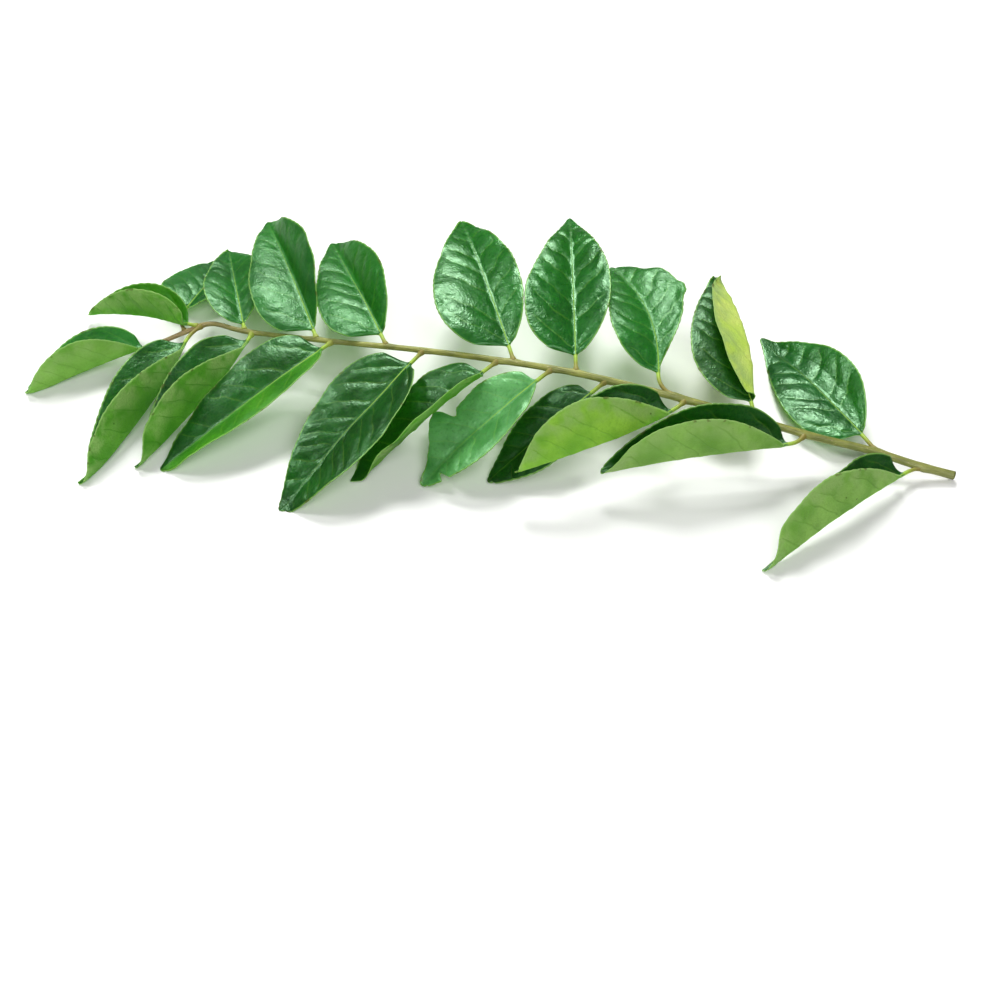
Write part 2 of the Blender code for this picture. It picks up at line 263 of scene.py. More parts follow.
# %% The far leaflets
FAR_LEAFLETS = [
    Leaflet("leaflet_right_01", 20, 46, 23, 132, 2, 20, stalk=6.5, fold_left=-8,
            fold_right=12, crease_right=34, crease_at=0.42, widest=0.38, taper=1.08,
            pucker=0.3, skin="wet"),
    Leaflet("leaflet_right_02", 52, 44, 24, 113, 14, 18, fold_left=6, fold_right=0,
            crease_right=152, crease_at=0.17, lobe=0.06, pucker=0.3, skin="shade"),
    Leaflet("leaflet_right_03", 73, 42, 22, 100, 12, 20, sweep=40, stalk=8,
            stalk_turn=60, fold_right=10, widest=0.52, lobe=0.13, pucker=0.28,
            bites=((-1, 0.6, 0.05, -0.13), (-1, 0.86, 0.05, 0.2))),
    Leaflet("leaflet_right_04", 98, 51, 23, 106, 14, 20, fold_right=24, widest=0.36,
            taper=1.05, lobe=0.06, lopsided=0.12, pucker=0.42, skin="wet"),
    Leaflet("leaflet_right_05", 114, 50, 23, 121, 12, 20, fold_left=8, fold_right=26,
            widest=0.38, lopsided=0.2, pucker=0.24, skin="wet",
            bites=((1, 0.42, 0.36, -0.13),)),
    Leaflet("leaflet_right_06", 148, 43, 23, 128, 4, 14, stalk=4.5, fold_left=6,
            fold_right=54, widest=0.37, lobe=0.1, lopsided=0.1, pucker=0.22),
    Leaflet("leaflet_right_07", 167.5, 46, 23, 127, 14, 24, stalk=3, fold_left=6,
            fold_right=58, widest=0.4, lobe=0.12, lopsided=0.08, pucker=0.12),
    Leaflet("leaflet_right_08", 188.5, 33, 18, 120, 4, 14, stalk=2.5, fold_left=20,
            fold_right=20, widest=0.46, pucker=0.12),
    Leaflet("leaflet_right_09", 207, 29, 19, 88, -2, 18, stalk=11, stalk_turn=45,
            fold_left=8, fold_right=25, lopsided=0.15, pucker=0.2),
]
LEAFLETS = NEAR_LEAFLETS + [END_LEAFLET] + FAR_LEAFLETS
print(len(LEAFLETS), "leaflets, of", min(leaf.length for leaf in LEAFLETS), "to",
      max(leaf.length for leaf in LEAFLETS), "mm")

# %% [markdown]
# ## The line that a leaflet follows
#
# A leaflet could be bent with an armature or a curve modifier, but both hide the shape inside
# modifiers. Here the midrib is simply walked in short steps: at each step the heading and the
# slope change a little. Stalk and blade share this one line, so they join without a seam.

# %% Walk along the stalk and the midrib
WALK_STEPS = 400
TURN_FADES = 1.15             # a stalk's own turn has faded after this many stalk lengths


def midrib_line(leaf, fractions):
    """Points on the stalk and midrib with the directions forward, left and up there."""
    start = stem.at(min(leaf.joint, stem.length))
    walk = np.linspace(0.0, 1.0, WALK_STEPS + 1)
    total = leaf.stalk + leaf.length
    stalk_share = leaf.stalk / total
    along_blade = np.clip((walk - stalk_share) / (1.0 - stalk_share), 0.0, 1.0)
    turn = leaf.stalk_turn * (1.0 - ease(walk / (TURN_FADES * stalk_share)))
    heading = np.radians(leaf.heading + leaf.sweep * along_blade + turn)
    slope = np.radians(leaf.lift - leaf.droop * walk)
    forward = np.stack([np.cos(heading) * np.cos(slope),
                        np.sin(heading) * np.cos(slope), np.sin(slope)], axis=1)
    steps = (forward[1:] + forward[:-1]) / 2 * total / WALK_STEPS
    points = start + np.vstack([np.zeros(3), np.cumsum(steps, axis=0)])

    def read(values):
        return np.stack([np.interp(fractions, walk, axis) for axis in values.T], axis=1)

    ahead = read(forward)
    ahead /= np.linalg.norm(ahead, axis=1)[:, None]
    heading = np.interp(fractions, walk, heading)
    left = np.stack([-np.sin(heading), np.cos(heading), np.zeros_like(heading)], axis=1)
    return read(points), ahead, left, np.cross(ahead, left)


ends, _, _, _ = midrib_line(NEAR_LEAFLETS[0], np.array([0.0, 1.0]))
print(f"{NEAR_LEAFLETS[0].name} slopes from {ends[0, 2]:.1f} mm above the table "
      f"to {ends[1, 2]:.1f} mm at its tip")

# %% [markdown]
# ## The outline
#
# A curry leaflet is widest below its middle, has a rounded, slightly lopsided base and tapers
# to a tip that is blunt, often with a tiny notch. Its edge looks smooth from afar, but it has
# shallow rounded teeth. So the half width is a product of two powers, which gives the base
# and the taper, and then small numbers are added: a blunt end, the teeth and some wander.

# %% Numbers of the outline
TIP_BLUNTNESS = 0.75          # how much wider the tip is than a sharp point
TIP_REACH = 3.5               # and over what distance that fades
TIP_ROUND = 1.0               # radius of the rounded end
LEAST_WIDTH = 0.03
EDGE_WANDER = 0.022           # slow change of the outline, as a share of the width
WANDER_CELL = 7.0
TOOTH = 0.17                  # depth of the teeth along the edge
TOOTH_SPACING = 2.1
TOOTH_STRAY = 0.5             # how far a tooth strays from its place, in spacings
STRAY_CELL = 5.0
TOOTH_LEVEL = 0.6             # share of a tooth that lies inside the smooth outline
TEETH_BEGIN = (0.08, 0.3)     # shares of the blade's length where the teeth grow
TEETH_END = (0.9, 0.98)       # and where they fade
WANDER_LANE, STRAY_LANE = 40.0, 70.0    # keep the two sides' random hills apart
print(f"a leaflet 50 mm long has about {50 / TOOTH_SPACING:.0f} teeth on each edge")


# %% Half width of each side of the blade
def half_width(leaf, u, side, seed):
    """Half width on one side (1 left, -1 right) at each share u of the blade's length."""
    tip_side = -1 if leaf.heading < 0 or leaf.heading >= 180 else 1
    lower = leaf.lobe if side == tip_side else -leaf.lobe
    share = 1.0 + (leaf.lopsided if side == tip_side else -leaf.lopsided)
    widest = leaf.widest - lower
    base_power = leaf.taper * widest / (1.0 - widest)
    shape = (u / widest) ** base_power * ((1.0 - u) / (1.0 - widest)) ** leaf.taper
    along = u * leaf.length
    lane = 0 * along + side
    wander = hills(along, lane * WANDER_LANE, WANDER_CELL, seed)
    width = leaf.width / 2 * share * shape * (1.0 + EDGE_WANDER * wander)
    stray = hills(along, lane * STRAY_LANE, STRAY_CELL, seed)
    beat = along / TOOTH_SPACING + TOOTH_STRAY * stray
    teeth = np.abs(np.sin(math.pi * beat)) - TOOTH_LEVEL
    width += TOOTH * teeth * ease(u, *TEETH_BEGIN) * (1.0 - ease(u, *TEETH_END))
    from_tip = (1.0 - u) * leaf.length
    width += TIP_BLUNTNESS * np.exp(-from_tip / TIP_REACH)
    rounded = np.sqrt(np.clip(from_tip * (2 * TIP_ROUND - from_tip), 0.0, None))
    width = np.where(from_tip < TIP_ROUND, np.minimum(width, rounded + LEAST_WIDTH), width)
    for bite_side, place, reach, depth in leaf.bites:
        if bite_side == side:
            width *= 1.0 - depth * np.exp(-np.abs((u - place) / reach) ** 3)
    return width


sample = half_width(FAR_LEAFLETS[0], np.linspace(0.01, 0.99, 99), 1, 0)
print(f"{FAR_LEAFLETS[0].name}: its left half is {sample.max():.1f} mm wide, "
      f"{sample.argmax() + 1}% of the way along")

# %% [markdown]
# ## Folding the blade
#
# Each half of the blade swings up from the midrib like the cover of a book. A hard hinge
# would look like paper, so the fold is spread over the first millimetre and a bit, and each
# half is also bowed: flat leaflets arch like a roof tile, and boats close like a cupped hand.
# The half's cross-section comes from adding up small steps whose slope changes on the way.

# %% Cross-section of one half
KEEL_ROUND = 1.3              # distance over which the fold turns at the midrib
FOLD_GROWS = 0.045            # share of the blade over which the folds begin
TIP_FROM = 0.82               # the folds open again from here to the tip
TIP_OPENING = 0.40
CREASE_GROWS = 0.05           # share of the blade over which a crease begins
CREASE_SPREAD = 0.12          # share of the half width over which it turns
SECTION_STEPS = 120


def folded_half(leaf, u, width, side):
    """(rows, steps) tables of how far sideways and up each step of the half lies."""
    steps = np.linspace(0.0, 1.0, SECTION_STEPS + 1)
    is_left = side > 0
    fold = leaf.fold_left if is_left else leaf.fold_right
    slope = fold + leaf.bow * (0.5 - steps) + (leaf.curl_left if is_left else 0) * steps
    spread = ease(u, 0.0, FOLD_GROWS) * (1.0 - TIP_OPENING * ease(u, TIP_FROM, 1.0))
    slope = slope[None] * spread[:, None]
    if leaf.crease_right and not is_left:
        turned = ease(steps, leaf.crease_at, leaf.crease_at + CREASE_SPREAD)
        grown = (ease(u, 0, CREASE_GROWS) * spread)[:, None]
        slope = slope + leaf.crease_right * turned * grown
    slope = slope * ease(steps[None] * width[:, None], 0.0, KEEL_ROUND)
    middle = np.radians((slope[:, 1:] + slope[:, :-1]) / 2)
    pad = ((0, 0), (1, 0))
    sideways = np.pad(np.cumsum(np.cos(middle), axis=1) / SECTION_STEPS, pad)
    upward = np.pad(np.cumsum(np.sin(middle), axis=1) / SECTION_STEPS, pad)
    return sideways * width[:, None], upward * width[:, None]


_, upward = folded_half(NEAR_LEAFLETS[1], np.array([0.5]), np.array([10.0]), 1)
print(f"{NEAR_LEAFLETS[1].name}: a left half 10 mm wide rises {upward[0, -1]:.1f} mm")

# %% [markdown]
# ## Side veins and the cushions between them
#
# From the midrib, side veins run outwards and curve towards the tip. The skin is tied down
# along each vein and swells between them, which gives the quilted look that catches the
# light. To place them, every point of the blade gets a vein number, counted from 0 at the base:
# 3.0 lies exactly on vein 3 and 3.5 halfway to vein 4. The same number drives the relief here
# and the colour later, so veins and cushions always match.

# %% Number the veins
VEIN_CLIMB = 0.62             # slope of a vein where it leaves the midrib
VEIN_CURVE = 0.022            # and how much steeper it gets per millimetre
FIRST_VEIN = 0.035            # where the first one starts, as a share of the length
VEIN_SPAN = 0.86              # share of the length over which they start
VEIN_CROWDING = 0.92          # below 1 they stand closer near the tip
VEIN_STRAY = 0.27             # random shift of each start, in spacings
VEIN_WOBBLE, WOBBLE_CELL = 0.12, 3.0
BEYOND = 9                    # the numbers run on this far outside the real veins
LEFT_SEED = 7                 # gives the two halves different veins


def vein_number(leaf, across, along, side, seed):
    """Which side vein a point of the flattened blade lies on, as a smooth number."""
    random = np.random.default_rng(seed + (LEFT_SEED if side > 0 else 0))
    share = (np.arange(leaf.veins) / leaf.veins) ** VEIN_CROWDING
    spacing = leaf.length * VEIN_SPAN / leaf.veins
    starts = leaf.length * (FIRST_VEIN + VEIN_SPAN * share)
    starts[1:] += random.uniform(-VEIN_STRAY, VEIN_STRAY, leaf.veins - 1) * spacing
    starts = np.concatenate([[starts[0] - BEYOND * spacing], starts,
                             [starts[-1] + BEYOND * spacing]])
    numbers = np.concatenate([[-BEYOND], np.arange(leaf.veins), [leaf.veins - 1 + BEYOND]])
    reach = np.abs(across)
    origin = along - VEIN_CLIMB * reach - VEIN_CURVE * reach ** 2
    wobble = hills(across, along, WOBBLE_CELL, seed + 3)
    return np.interp(origin, starts, numbers) + VEIN_WOBBLE * wobble


sample = vein_number(END_LEAFLET, np.array([8.0]), np.array([20.0]), 1, 0)
print(f"{END_LEAFLET.name}: 8 mm out and 20 mm along, the vein number is {sample[0]:.1f}")

# %% [markdown]
# The relief adds up five things. Cushions swell between the side veins, and rungs cross them
# as the smallest veins do. A fine grain and a slow warp run over the whole blade, and waves
# grow towards its edge. All of it is real geometry and not a bump in the material, because
# the sheen and the outline of the leaf both have to follow it.

# %% Numbers of the relief
VEINS_RISE = (0.2, 1.6)       # distance from the midrib over which the veins appear
VEINS_SINK = (0.7, 0.98)      # share of the half width over which they fade again
VEINS_BEGIN = (0.0, 0.06)     # the same along the blade, in shares of its length
VEINS_END = (0.84, 0.97)
CUSHION_LEAN = 0.85           # below 1 the top of a cushion lies nearer to the base
CUSHION_ROUND = 0.7           # below 1 its top is flatter and the vein a sharper groove
CUSHION_LEVEL = 0.6           # share of its height that lies below the plain blade
RUNG_HEIGHT, RUNGS_PER_VEIN, RUNG_CELL = 0.16, 3.0, 1.5    # height as a share of pucker
GRAIN_HEIGHT, GRAIN_CELL = 0.05, 1.3
WARP_HEIGHT, WARP_CELL = 0.35, 13.0
WAVE_HEIGHT, WAVE_CELL, WAVE_LANE = 1.5, 5.5, 50.0
WAVE_RISE = 2.2               # the higher, the closer the waves keep to the edge
WAVES_BEGIN = (0.05, 0.2)
depths = [leaf.pucker * CUSHION_LEVEL for leaf in LEAFLETS]
print(f"the vein grooves are {min(depths):.2f} to {max(depths):.2f} mm deep")


# %% The relief of the blade
def blade_relief(leaf, across, along, share, number, seed):
    """Height of the skin above the folded blade, and how strong the side veins are."""
    u = along / leaf.length
    strength = ease(np.abs(across), *VEINS_RISE) * (1.0 - ease(np.abs(share), *VEINS_SINK))
    strength *= ease(u, *VEINS_BEGIN) * (1.0 - ease(u, *VEINS_END))
    between = number - np.floor(number)
    cushion = np.abs(np.sin(math.pi * between ** CUSHION_LEAN)) ** CUSHION_ROUND
    relief = leaf.pucker * (cushion - CUSHION_LEVEL) * strength
    rungs = hills(number * RUNGS_PER_VEIN, np.abs(across), RUNG_CELL, seed + 5)
    relief += RUNG_HEIGHT * leaf.pucker * rungs * strength
    relief += GRAIN_HEIGHT * hills(across, along, GRAIN_CELL, seed + 6)
    relief += WARP_HEIGHT * hills(across, along, WARP_CELL, seed + 8)
    edge = np.abs(share) ** WAVE_RISE * ease(u, *WAVES_BEGIN)
    waves = hills(np.sign(share) * WAVE_LANE + 0 * along, along, WAVE_CELL, seed + 9)
    relief += leaf.wave * WAVE_HEIGHT * edge * waves
    return relief, strength


# %% [markdown]
# ## Skinning a leaflet
#
# A leaflet is made as one closed skin, from the root of its stalk to its tip, out of rings
# with the same number of points. On the stalk the rings are circles. On the blade they are
# long and thin: over the upper side from right to left, round the edge, and back under the
# lower side. Near the blade's base one shape melts into the other. The midrib is the same
# stalk running on, a ridge that sinks into the blade and stands out below it.

# %% How many columns and rows, and how thick
COLUMNS = 64                  # steps from the right edge to the left one
BLADE_ROWS = 112
STALK_ROWS = 14
HALF_THICKNESS = 0.16
STALK_RADIUS = 0.50
SOCKET_RADIUS = 0.85          # the swollen foot of the stalk
MIDRIB_TIP_RADIUS = 0.13
MIDRIB_TAPER = 1.3            # above 1 the midrib thins faster near its base
COLUMN_CROWDING = 0.5         # 0 spaces the columns evenly
ROW_EVENNESS = 0.45           # 1 spaces the blade's rows evenly
FIRST_RING = 0.35             # the stalk's first ring, from the middle of the stem
RING_POINTS = 2 * (COLUMNS + 1) + 2    # both sides and one point at each edge
print("a leaflet has", STALK_ROWS + BLADE_ROWS, "rings of", RING_POINTS, "points each")


# %% Places of the columns and rows
def columns():
    """Shares of the half width from -1 to 1, closer together at the midrib and edges."""
    even = np.linspace(-1.0, 1.0, COLUMNS + 1)
    return even - COLUMN_CROWDING * np.sin(2 * math.pi * even) / (2 * math.pi)


def rows(leaf):
    """Fractions of the whole leaflet for the stalk's rings and the blade's rings."""
    total = leaf.stalk + leaf.length
    stalk_share = leaf.stalk / total
    stalk = np.linspace(FIRST_RING / total, stalk_share, STALK_ROWS, endpoint=False)
    even = np.linspace(0.0, 1.0, BLADE_ROWS + 1)[1:]
    crowded = (1.0 - np.cos(math.pi * even)) / 2
    u = ROW_EVENNESS * even + (1.0 - ROW_EVENNESS) * crowded
    return stalk, stalk_share + (1.0 - stalk_share) * u, u


def midrib_radius(u):
    """Radius of the midrib at each share of the blade's length."""
    thicker = (1.0 - u) ** MIDRIB_TAPER
    return MIDRIB_TIP_RADIUS + (STALK_RADIUS - MIDRIB_TIP_RADIUS) * thicker


print(f"halfway along the blade the midrib is {2 * midrib_radius(0.5):.2f} mm thick")


# %% [markdown]
# The sheet in the middle of the blade comes first: midrib, outline, fold and relief are added
# up for every row and column. Its normals say which way is out, for the relief now and for
# the thickness in the next cell. A map of each value is kept, because the colours need it.

# %% Reading a half at a column, and normals
ALMOST_NOTHING = 1e-12        # keeps a division by a zero length from failing


def across_blade(table, share):
    """Read a (rows, steps) table of a half at each column's share."""
    place = np.abs(share) * SECTION_STEPS
    low = np.minimum(place.astype(int), SECTION_STEPS - 1)
    return table[:, low] * (1 - place + low) + table[:, low + 1] * (place - low)


def surface_normals(points):
    """Directions that the upper side of a grid of points faces."""
    along = np.gradient(points, axis=0)
    across = np.gradient(points, axis=1)
    normals = np.cross(along, across)
    normals /= np.linalg.norm(normals, axis=2)[..., None] + ALMOST_NOTHING
    normals[-1] = normals[-2]
    return normals


# %% The sheet in the middle of the blade
RIB_SHARE = 0.9               # a half is never narrower than this share of the midrib
RELIEF_BEGINS = (0.0, 0.05)


def blade_surface(leaf, u, fractions, share, seed):
    """Middle surface of the blade with its relief, its normals, and maps for the finish."""
    centre, _, left, up = midrib_line(leaf, fractions)
    rib = midrib_radius(u)
    shape, across, edge, number = [], [], [], []
    for side in (-1, 1):
        width = np.maximum(half_width(leaf, u, side, seed), rib * RIB_SHARE)
        chosen = share[share < 0] if side < 0 else share[share >= 0]
        sideways, upward = folded_half(leaf, u, width, side)
        shape.append((side * across_blade(sideways, chosen), across_blade(upward, chosen)))
        across.append(chosen[None] * width[:, None])
        edge.append((1.0 - np.abs(chosen))[None] * width[:, None])
        along = np.repeat((u * leaf.length)[:, None], len(chosen), axis=1)
        number.append(vein_number(leaf, across[-1], along, side, seed))
    sideways, upward = (np.hstack([half[i] for half in shape]) for i in (0, 1))
    across, edge, number = np.hstack(across), np.hstack(edge), np.hstack(number)
    along = np.repeat((u * leaf.length)[:, None], len(share), axis=1)
    points = (centre[:, None] + sideways[..., None] * left[:, None]
              + upward[..., None] * up[:, None])
    facing = surface_normals(points)
    relief, strength = blade_relief(leaf, across, along, share[None], number, seed)
    relief *= ease(u, *RELIEF_BEGINS)[:, None]
    points = points + facing * relief[..., None]
    maps = dict(across=across, along=along, edge=edge, number=number, strength=strength,
                rib=np.repeat(rib[:, None], len(share), axis=1))
    return points, surface_normals(points), maps


# %% [markdown]
# The sheet then gets its thickness. The upper and the lower side are moved apart along the
# normals, a little less at the edges and the tip. A Solidify modifier could do that too, but
# it knows nothing of a midrib. Here the ridge is added to the thickness in the same step.

# %% Thickness, midrib and rounded edge
LOWER_RIB, UPPER_RIB = 1.0, 0.07    # how far the midrib stands out, in its own radii
LOWER_SKIN, UPPER_SKIN = 0.5, 0.8   # and the leaf's own thickness there, as shares
EDGE_THINNING, EDGE_SHARPNESS = 0.4, 8
TIP_THICKNESS, TIP_THINS_OVER = 0.55, 0.08
EDGE_ROUNDING = 0.1           # how far the rounded edge stands out
LEAST_STEP = 1e-9


def ring_of(upper, lower, left_edge, right_edge):
    """One loop per row: upper side right to left, left edge, lower side back, right edge."""
    return np.concatenate([upper, left_edge[:, None], lower[:, ::-1],
                           right_edge[:, None]], axis=1)


def blade_rings(points, normals, maps, share, u):
    """Give the middle surface its thickness, its midrib and its rounded edge."""
    edge = 1.0 - EDGE_THINNING * np.abs(share[None]) ** EDGE_SHARPNESS
    tip = TIP_THICKNESS + (1.0 - TIP_THICKNESS) * ease(1.0 - u, 0.0, TIP_THINS_OVER)
    thickness = HALF_THICKNESS * edge * tip[:, None]
    inside = np.clip(1.0 - (maps["across"] / maps["rib"]) ** 2, 0.0, 1.0)
    ridge = maps["rib"] * np.sqrt(inside)
    above = np.maximum(thickness, UPPER_RIB * ridge + UPPER_SKIN * thickness)
    below = np.maximum(thickness, LOWER_RIB * ridge + LOWER_SKIN * thickness)
    upper = points + normals * above[..., None]
    lower = points - normals * below[..., None]
    left = points[:, -1] + outward(points[:, -1], points[:, -2]) * EDGE_ROUNDING
    right = points[:, 0] + outward(points[:, 0], points[:, 1]) * EDGE_ROUNDING
    return ring_of(upper, lower, left, right)


def outward(edge, inner):
    """Direction from the points just inside an edge to the edge itself."""
    step = edge - inner
    return step / (np.linalg.norm(step, axis=1)[:, None] + LEAST_STEP)


# %% Round rings for the stalk
def round_rings(centre, left, up, radius):
    """Circles with as many points as a blade ring has, in the same order."""
    half = math.pi * (np.arange(COLUMNS + 1) + 0.5) / (COLUMNS + 1)
    angle = np.concatenate([half, [math.pi], math.pi + half, [2 * math.pi]])[None, :, None]
    arm = -np.cos(angle) * left[:, None] + np.sin(angle) * up[:, None]
    return centre[:, None] + radius[:, None, None] * arm


# %% [markdown]
# The finish needs to know where on the leaflet each point is, so every point also carries
# three flat maps, which Blender keeps as UV maps. "flat" is the blade ironed out, in
# millimetres. "veins" holds the vein number and how strong the veins are. "edges" holds the
# distance to the midrib, in midrib radii, and the distance to the leaf's edge.

# %% Put stalk and blade together
FAR_FROM_EDGE = 9.0           # what the stalk's points say of their distance to the edge
MELTING = (0.0, 0.04)         # share of the blade over which round rings become flat
SOCKET_FADES = (-0.2, 1.5)    # distance from the bark over which the foot gets slim
MAP_SHIFT = 31.0              # moves the patterns, so that no two leaflets look alike


def round_the_ring(values):
    """Repeat values known for each column once round the ring."""
    return np.concatenate([values, values[:, -1:], values[:, ::-1], values[:, :1]], axis=1)


def leaflet_rings(leaf, seed):
    """Every ring of a leaflet, and the maps of every point."""
    share = columns()
    stalk_at, blade_at, u = rows(leaf)
    points, normals, maps = blade_surface(leaf, u, blade_at, share, seed)
    thin = blade_rings(points, normals, maps, share, u)
    centre, _, left, up = midrib_line(leaf, blade_at)
    melt = ease(u, *MELTING)[:, None, None]
    round_ones = round_rings(centre, left, up, midrib_radius(u))
    blade = round_ones + (thin - round_ones) * melt
    total = leaf.stalk + leaf.length
    centre, _, left, up = midrib_line(leaf, stalk_at)
    out = stalk_at * total - stem.radius(leaf.joint)
    swell = 1.0 - ease(out, *SOCKET_FADES)
    radius = STALK_RADIUS + (SOCKET_RADIUS - STALK_RADIUS) * swell
    rings = np.vstack([round_rings(centre, left, up, radius), blade])
    blank = np.zeros((STALK_ROWS, COLUMNS + 1))
    along = blank + (stalk_at * total - leaf.stalk)[:, None]
    flat = np.stack([np.vstack([blank, maps["across"]]), np.vstack([along, maps["along"]])])
    veins = np.stack([np.vstack([blank, maps["number"]]),
                      np.vstack([blank, maps["strength"]])])
    edges = np.stack([np.vstack([blank, np.abs(maps["across"]) / maps["rib"]]),
                      np.vstack([blank + FAR_FROM_EDGE, maps["edge"]])])
    wrapped = {name: np.stack([round_the_ring(layer) for layer in pair], axis=-1)
               for name, pair in (("flat", flat), ("veins", veins), ("edges", edges))}
    wrapped["flat"][..., 0] += MAP_SHIFT * seed
    return lay_on_table(leaf, rings), wrapped


# %% [markdown]
# ## Resting on the table
#
# A folded leaflet stands on its keel, so a ring that would sink is lifted whole. A flat one
# lies down: only the points that would sink are pushed up, with the skin above them.

# %% Keep every ring above the table
FOLDED_FROM = 60.0            # a left half that rises more than this makes a boat
NEIGHBOURS = 4                # rings to each side over which a boat's lift is softened


def lay_on_table(leaf, rings):
    """Lift what would sink into the table."""
    height = rings[..., 2]
    if leaf.fold_left + leaf.curl_left > FOLDED_FROM:
        sunk = np.clip(-height.min(axis=1), 0.0, None)
        window = 2 * NEIGHBOURS + 1
        softened = np.convolve(np.pad(sunk, NEIGHBOURS, mode="edge"),
                               np.full(window, 1 / window), "valid")
        height += np.maximum(sunk, softened)[:, None]
    else:
        below = slice(2 * COLUMNS + 2, COLUMNS + 1, -1)    # lower side, right to left
        lift = np.clip(-height[:, below], 0.0, None)
        height[:, :COLUMNS + 1] += lift
        height[:, below] += lift
        np.maximum(height, 0.0, out=height)
    return rings


# %% [markdown]
# ## From rings to a mesh
#
# Neighbouring rings are joined with four-sided faces, and a fan of triangles closes each end.
# Faces of the upper side, the lower side and the stalk go to different material slots, since
# they have different skins on the real leaf.

# %% Mesh builder
POINT_BEYOND = 0.3            # the last point, in ring steps beyond the last ring


def skin_mesh(name, rings, maps, slots):
    """A closed mesh over (rows, ring, 3) points in millimetres. slots holds a material slot
    for each face of each row."""
    count, around = rings.shape[:2]
    first, before, last = (rings[i].mean(axis=0) for i in (0, -2, -1))
    last = last + (last - before) * POINT_BEYOND
    vertices = np.vstack([rings.reshape(-1, 3), first, last]) * MM
    row, step = np.meshgrid(np.arange(count - 1), np.arange(around), indexing="ij")
    following = (step + 1) % around
    quads = np.stack([row * around + step, (row + 1) * around + step,
                      (row + 1) * around + following, row * around + following], axis=-1)
    ring_step = np.arange(around)
    after = (ring_step + 1) % around
    end = (count - 1) * around
    start_fan = np.stack([ring_step, after, np.full(around, count * around)], axis=-1)
    end_fan = np.stack([end + after, end + ring_step,
                        np.full(around, count * around + 1)], axis=-1)
    faces = quads.reshape(-1, 4).tolist() + start_fan.tolist() + end_fan.tolist()
    mesh = bpy.data.meshes.new(name)
    mesh.from_pydata(vertices.tolist(), [], faces)
    corner_points = np.empty(len(mesh.loops), np.int32)
    mesh.loops.foreach_get("vertex_index", corner_points)
    for map_name, values in maps.items():
        both = np.vstack([values.reshape(-1, 2), values[0].mean(axis=0),
                          values[-1].mean(axis=0)])
        layer = mesh.uv_layers.new(name=map_name)
        layer.uv.foreach_set("vector", both[corner_points].astype(np.float32).ravel())
    face_slots = np.concatenate([slots.ravel(), slots[0], slots[-1]]).astype(np.int32)
    mesh.polygons.foreach_set("material_index", face_slots)
    mesh.polygons.foreach_set("use_smooth", np.ones(len(faces), bool))
    mesh.update()
    return mesh


# %% Which slot each face of a leaflet takes
UPPER, UPPER_LEFT, LOWER, STALK = 0, 1, 2, 3


def leaflet_slots(count):
    """A slot for each face of each of the rows between that many rings."""
    one_row = np.full(RING_POINTS, LOWER)
    one_row[:COLUMNS // 2] = UPPER
    one_row[COLUMNS // 2:COLUMNS + 1] = UPPER_LEFT
    one_row[-1] = UPPER
    slots = np.tile(one_row, (count - 1, 1))
    slots[:STALK_ROWS] = STALK
    return slots


# %% [markdown]
# ## Mixing a finish
#
# A material in Blender is a net of small nodes. This helper keeps the lines that build one
# short: every call adds a node, plugs in what it is given, whether a plain value or another
# node's result, and hands back its own result.

# %% A net of nodes
class NodeNet:
    """A material under construction."""

    def __init__(self, name):
        self.material = bpy.data.materials.new(name)
        self.material.use_nodes = True
        self.tree = self.material.node_tree
        self.tree.nodes.clear()

    def add(self, kind, inputs, output=0, **settings):
        node = self.tree.nodes.new("ShaderNode" + kind)
        for key, value in settings.items():
            setattr(node, key, value)
        for key, value in inputs.items():
            if isinstance(value, bpy.types.NodeSocket):
                self.tree.links.new(value, node.inputs[key])
            else:
                node.inputs[key].default_value = value
        return node.outputs[output]

    def done(self, surface):
        output = self.tree.nodes.new("ShaderNodeOutputMaterial")
        self.tree.links.new(surface, output.inputs["Surface"])
        return self.material


# %% [markdown]
# On top of it goes a paint box with words for what these finishes need. Noise and nets of
# cells make masks, a fade sharpens or softens them, and colours are laid over one another
# like thin washes of paint, each through a mask that says where it goes. Real leaves get
# their colour in layers too, so every layer below has a name from the leaf.

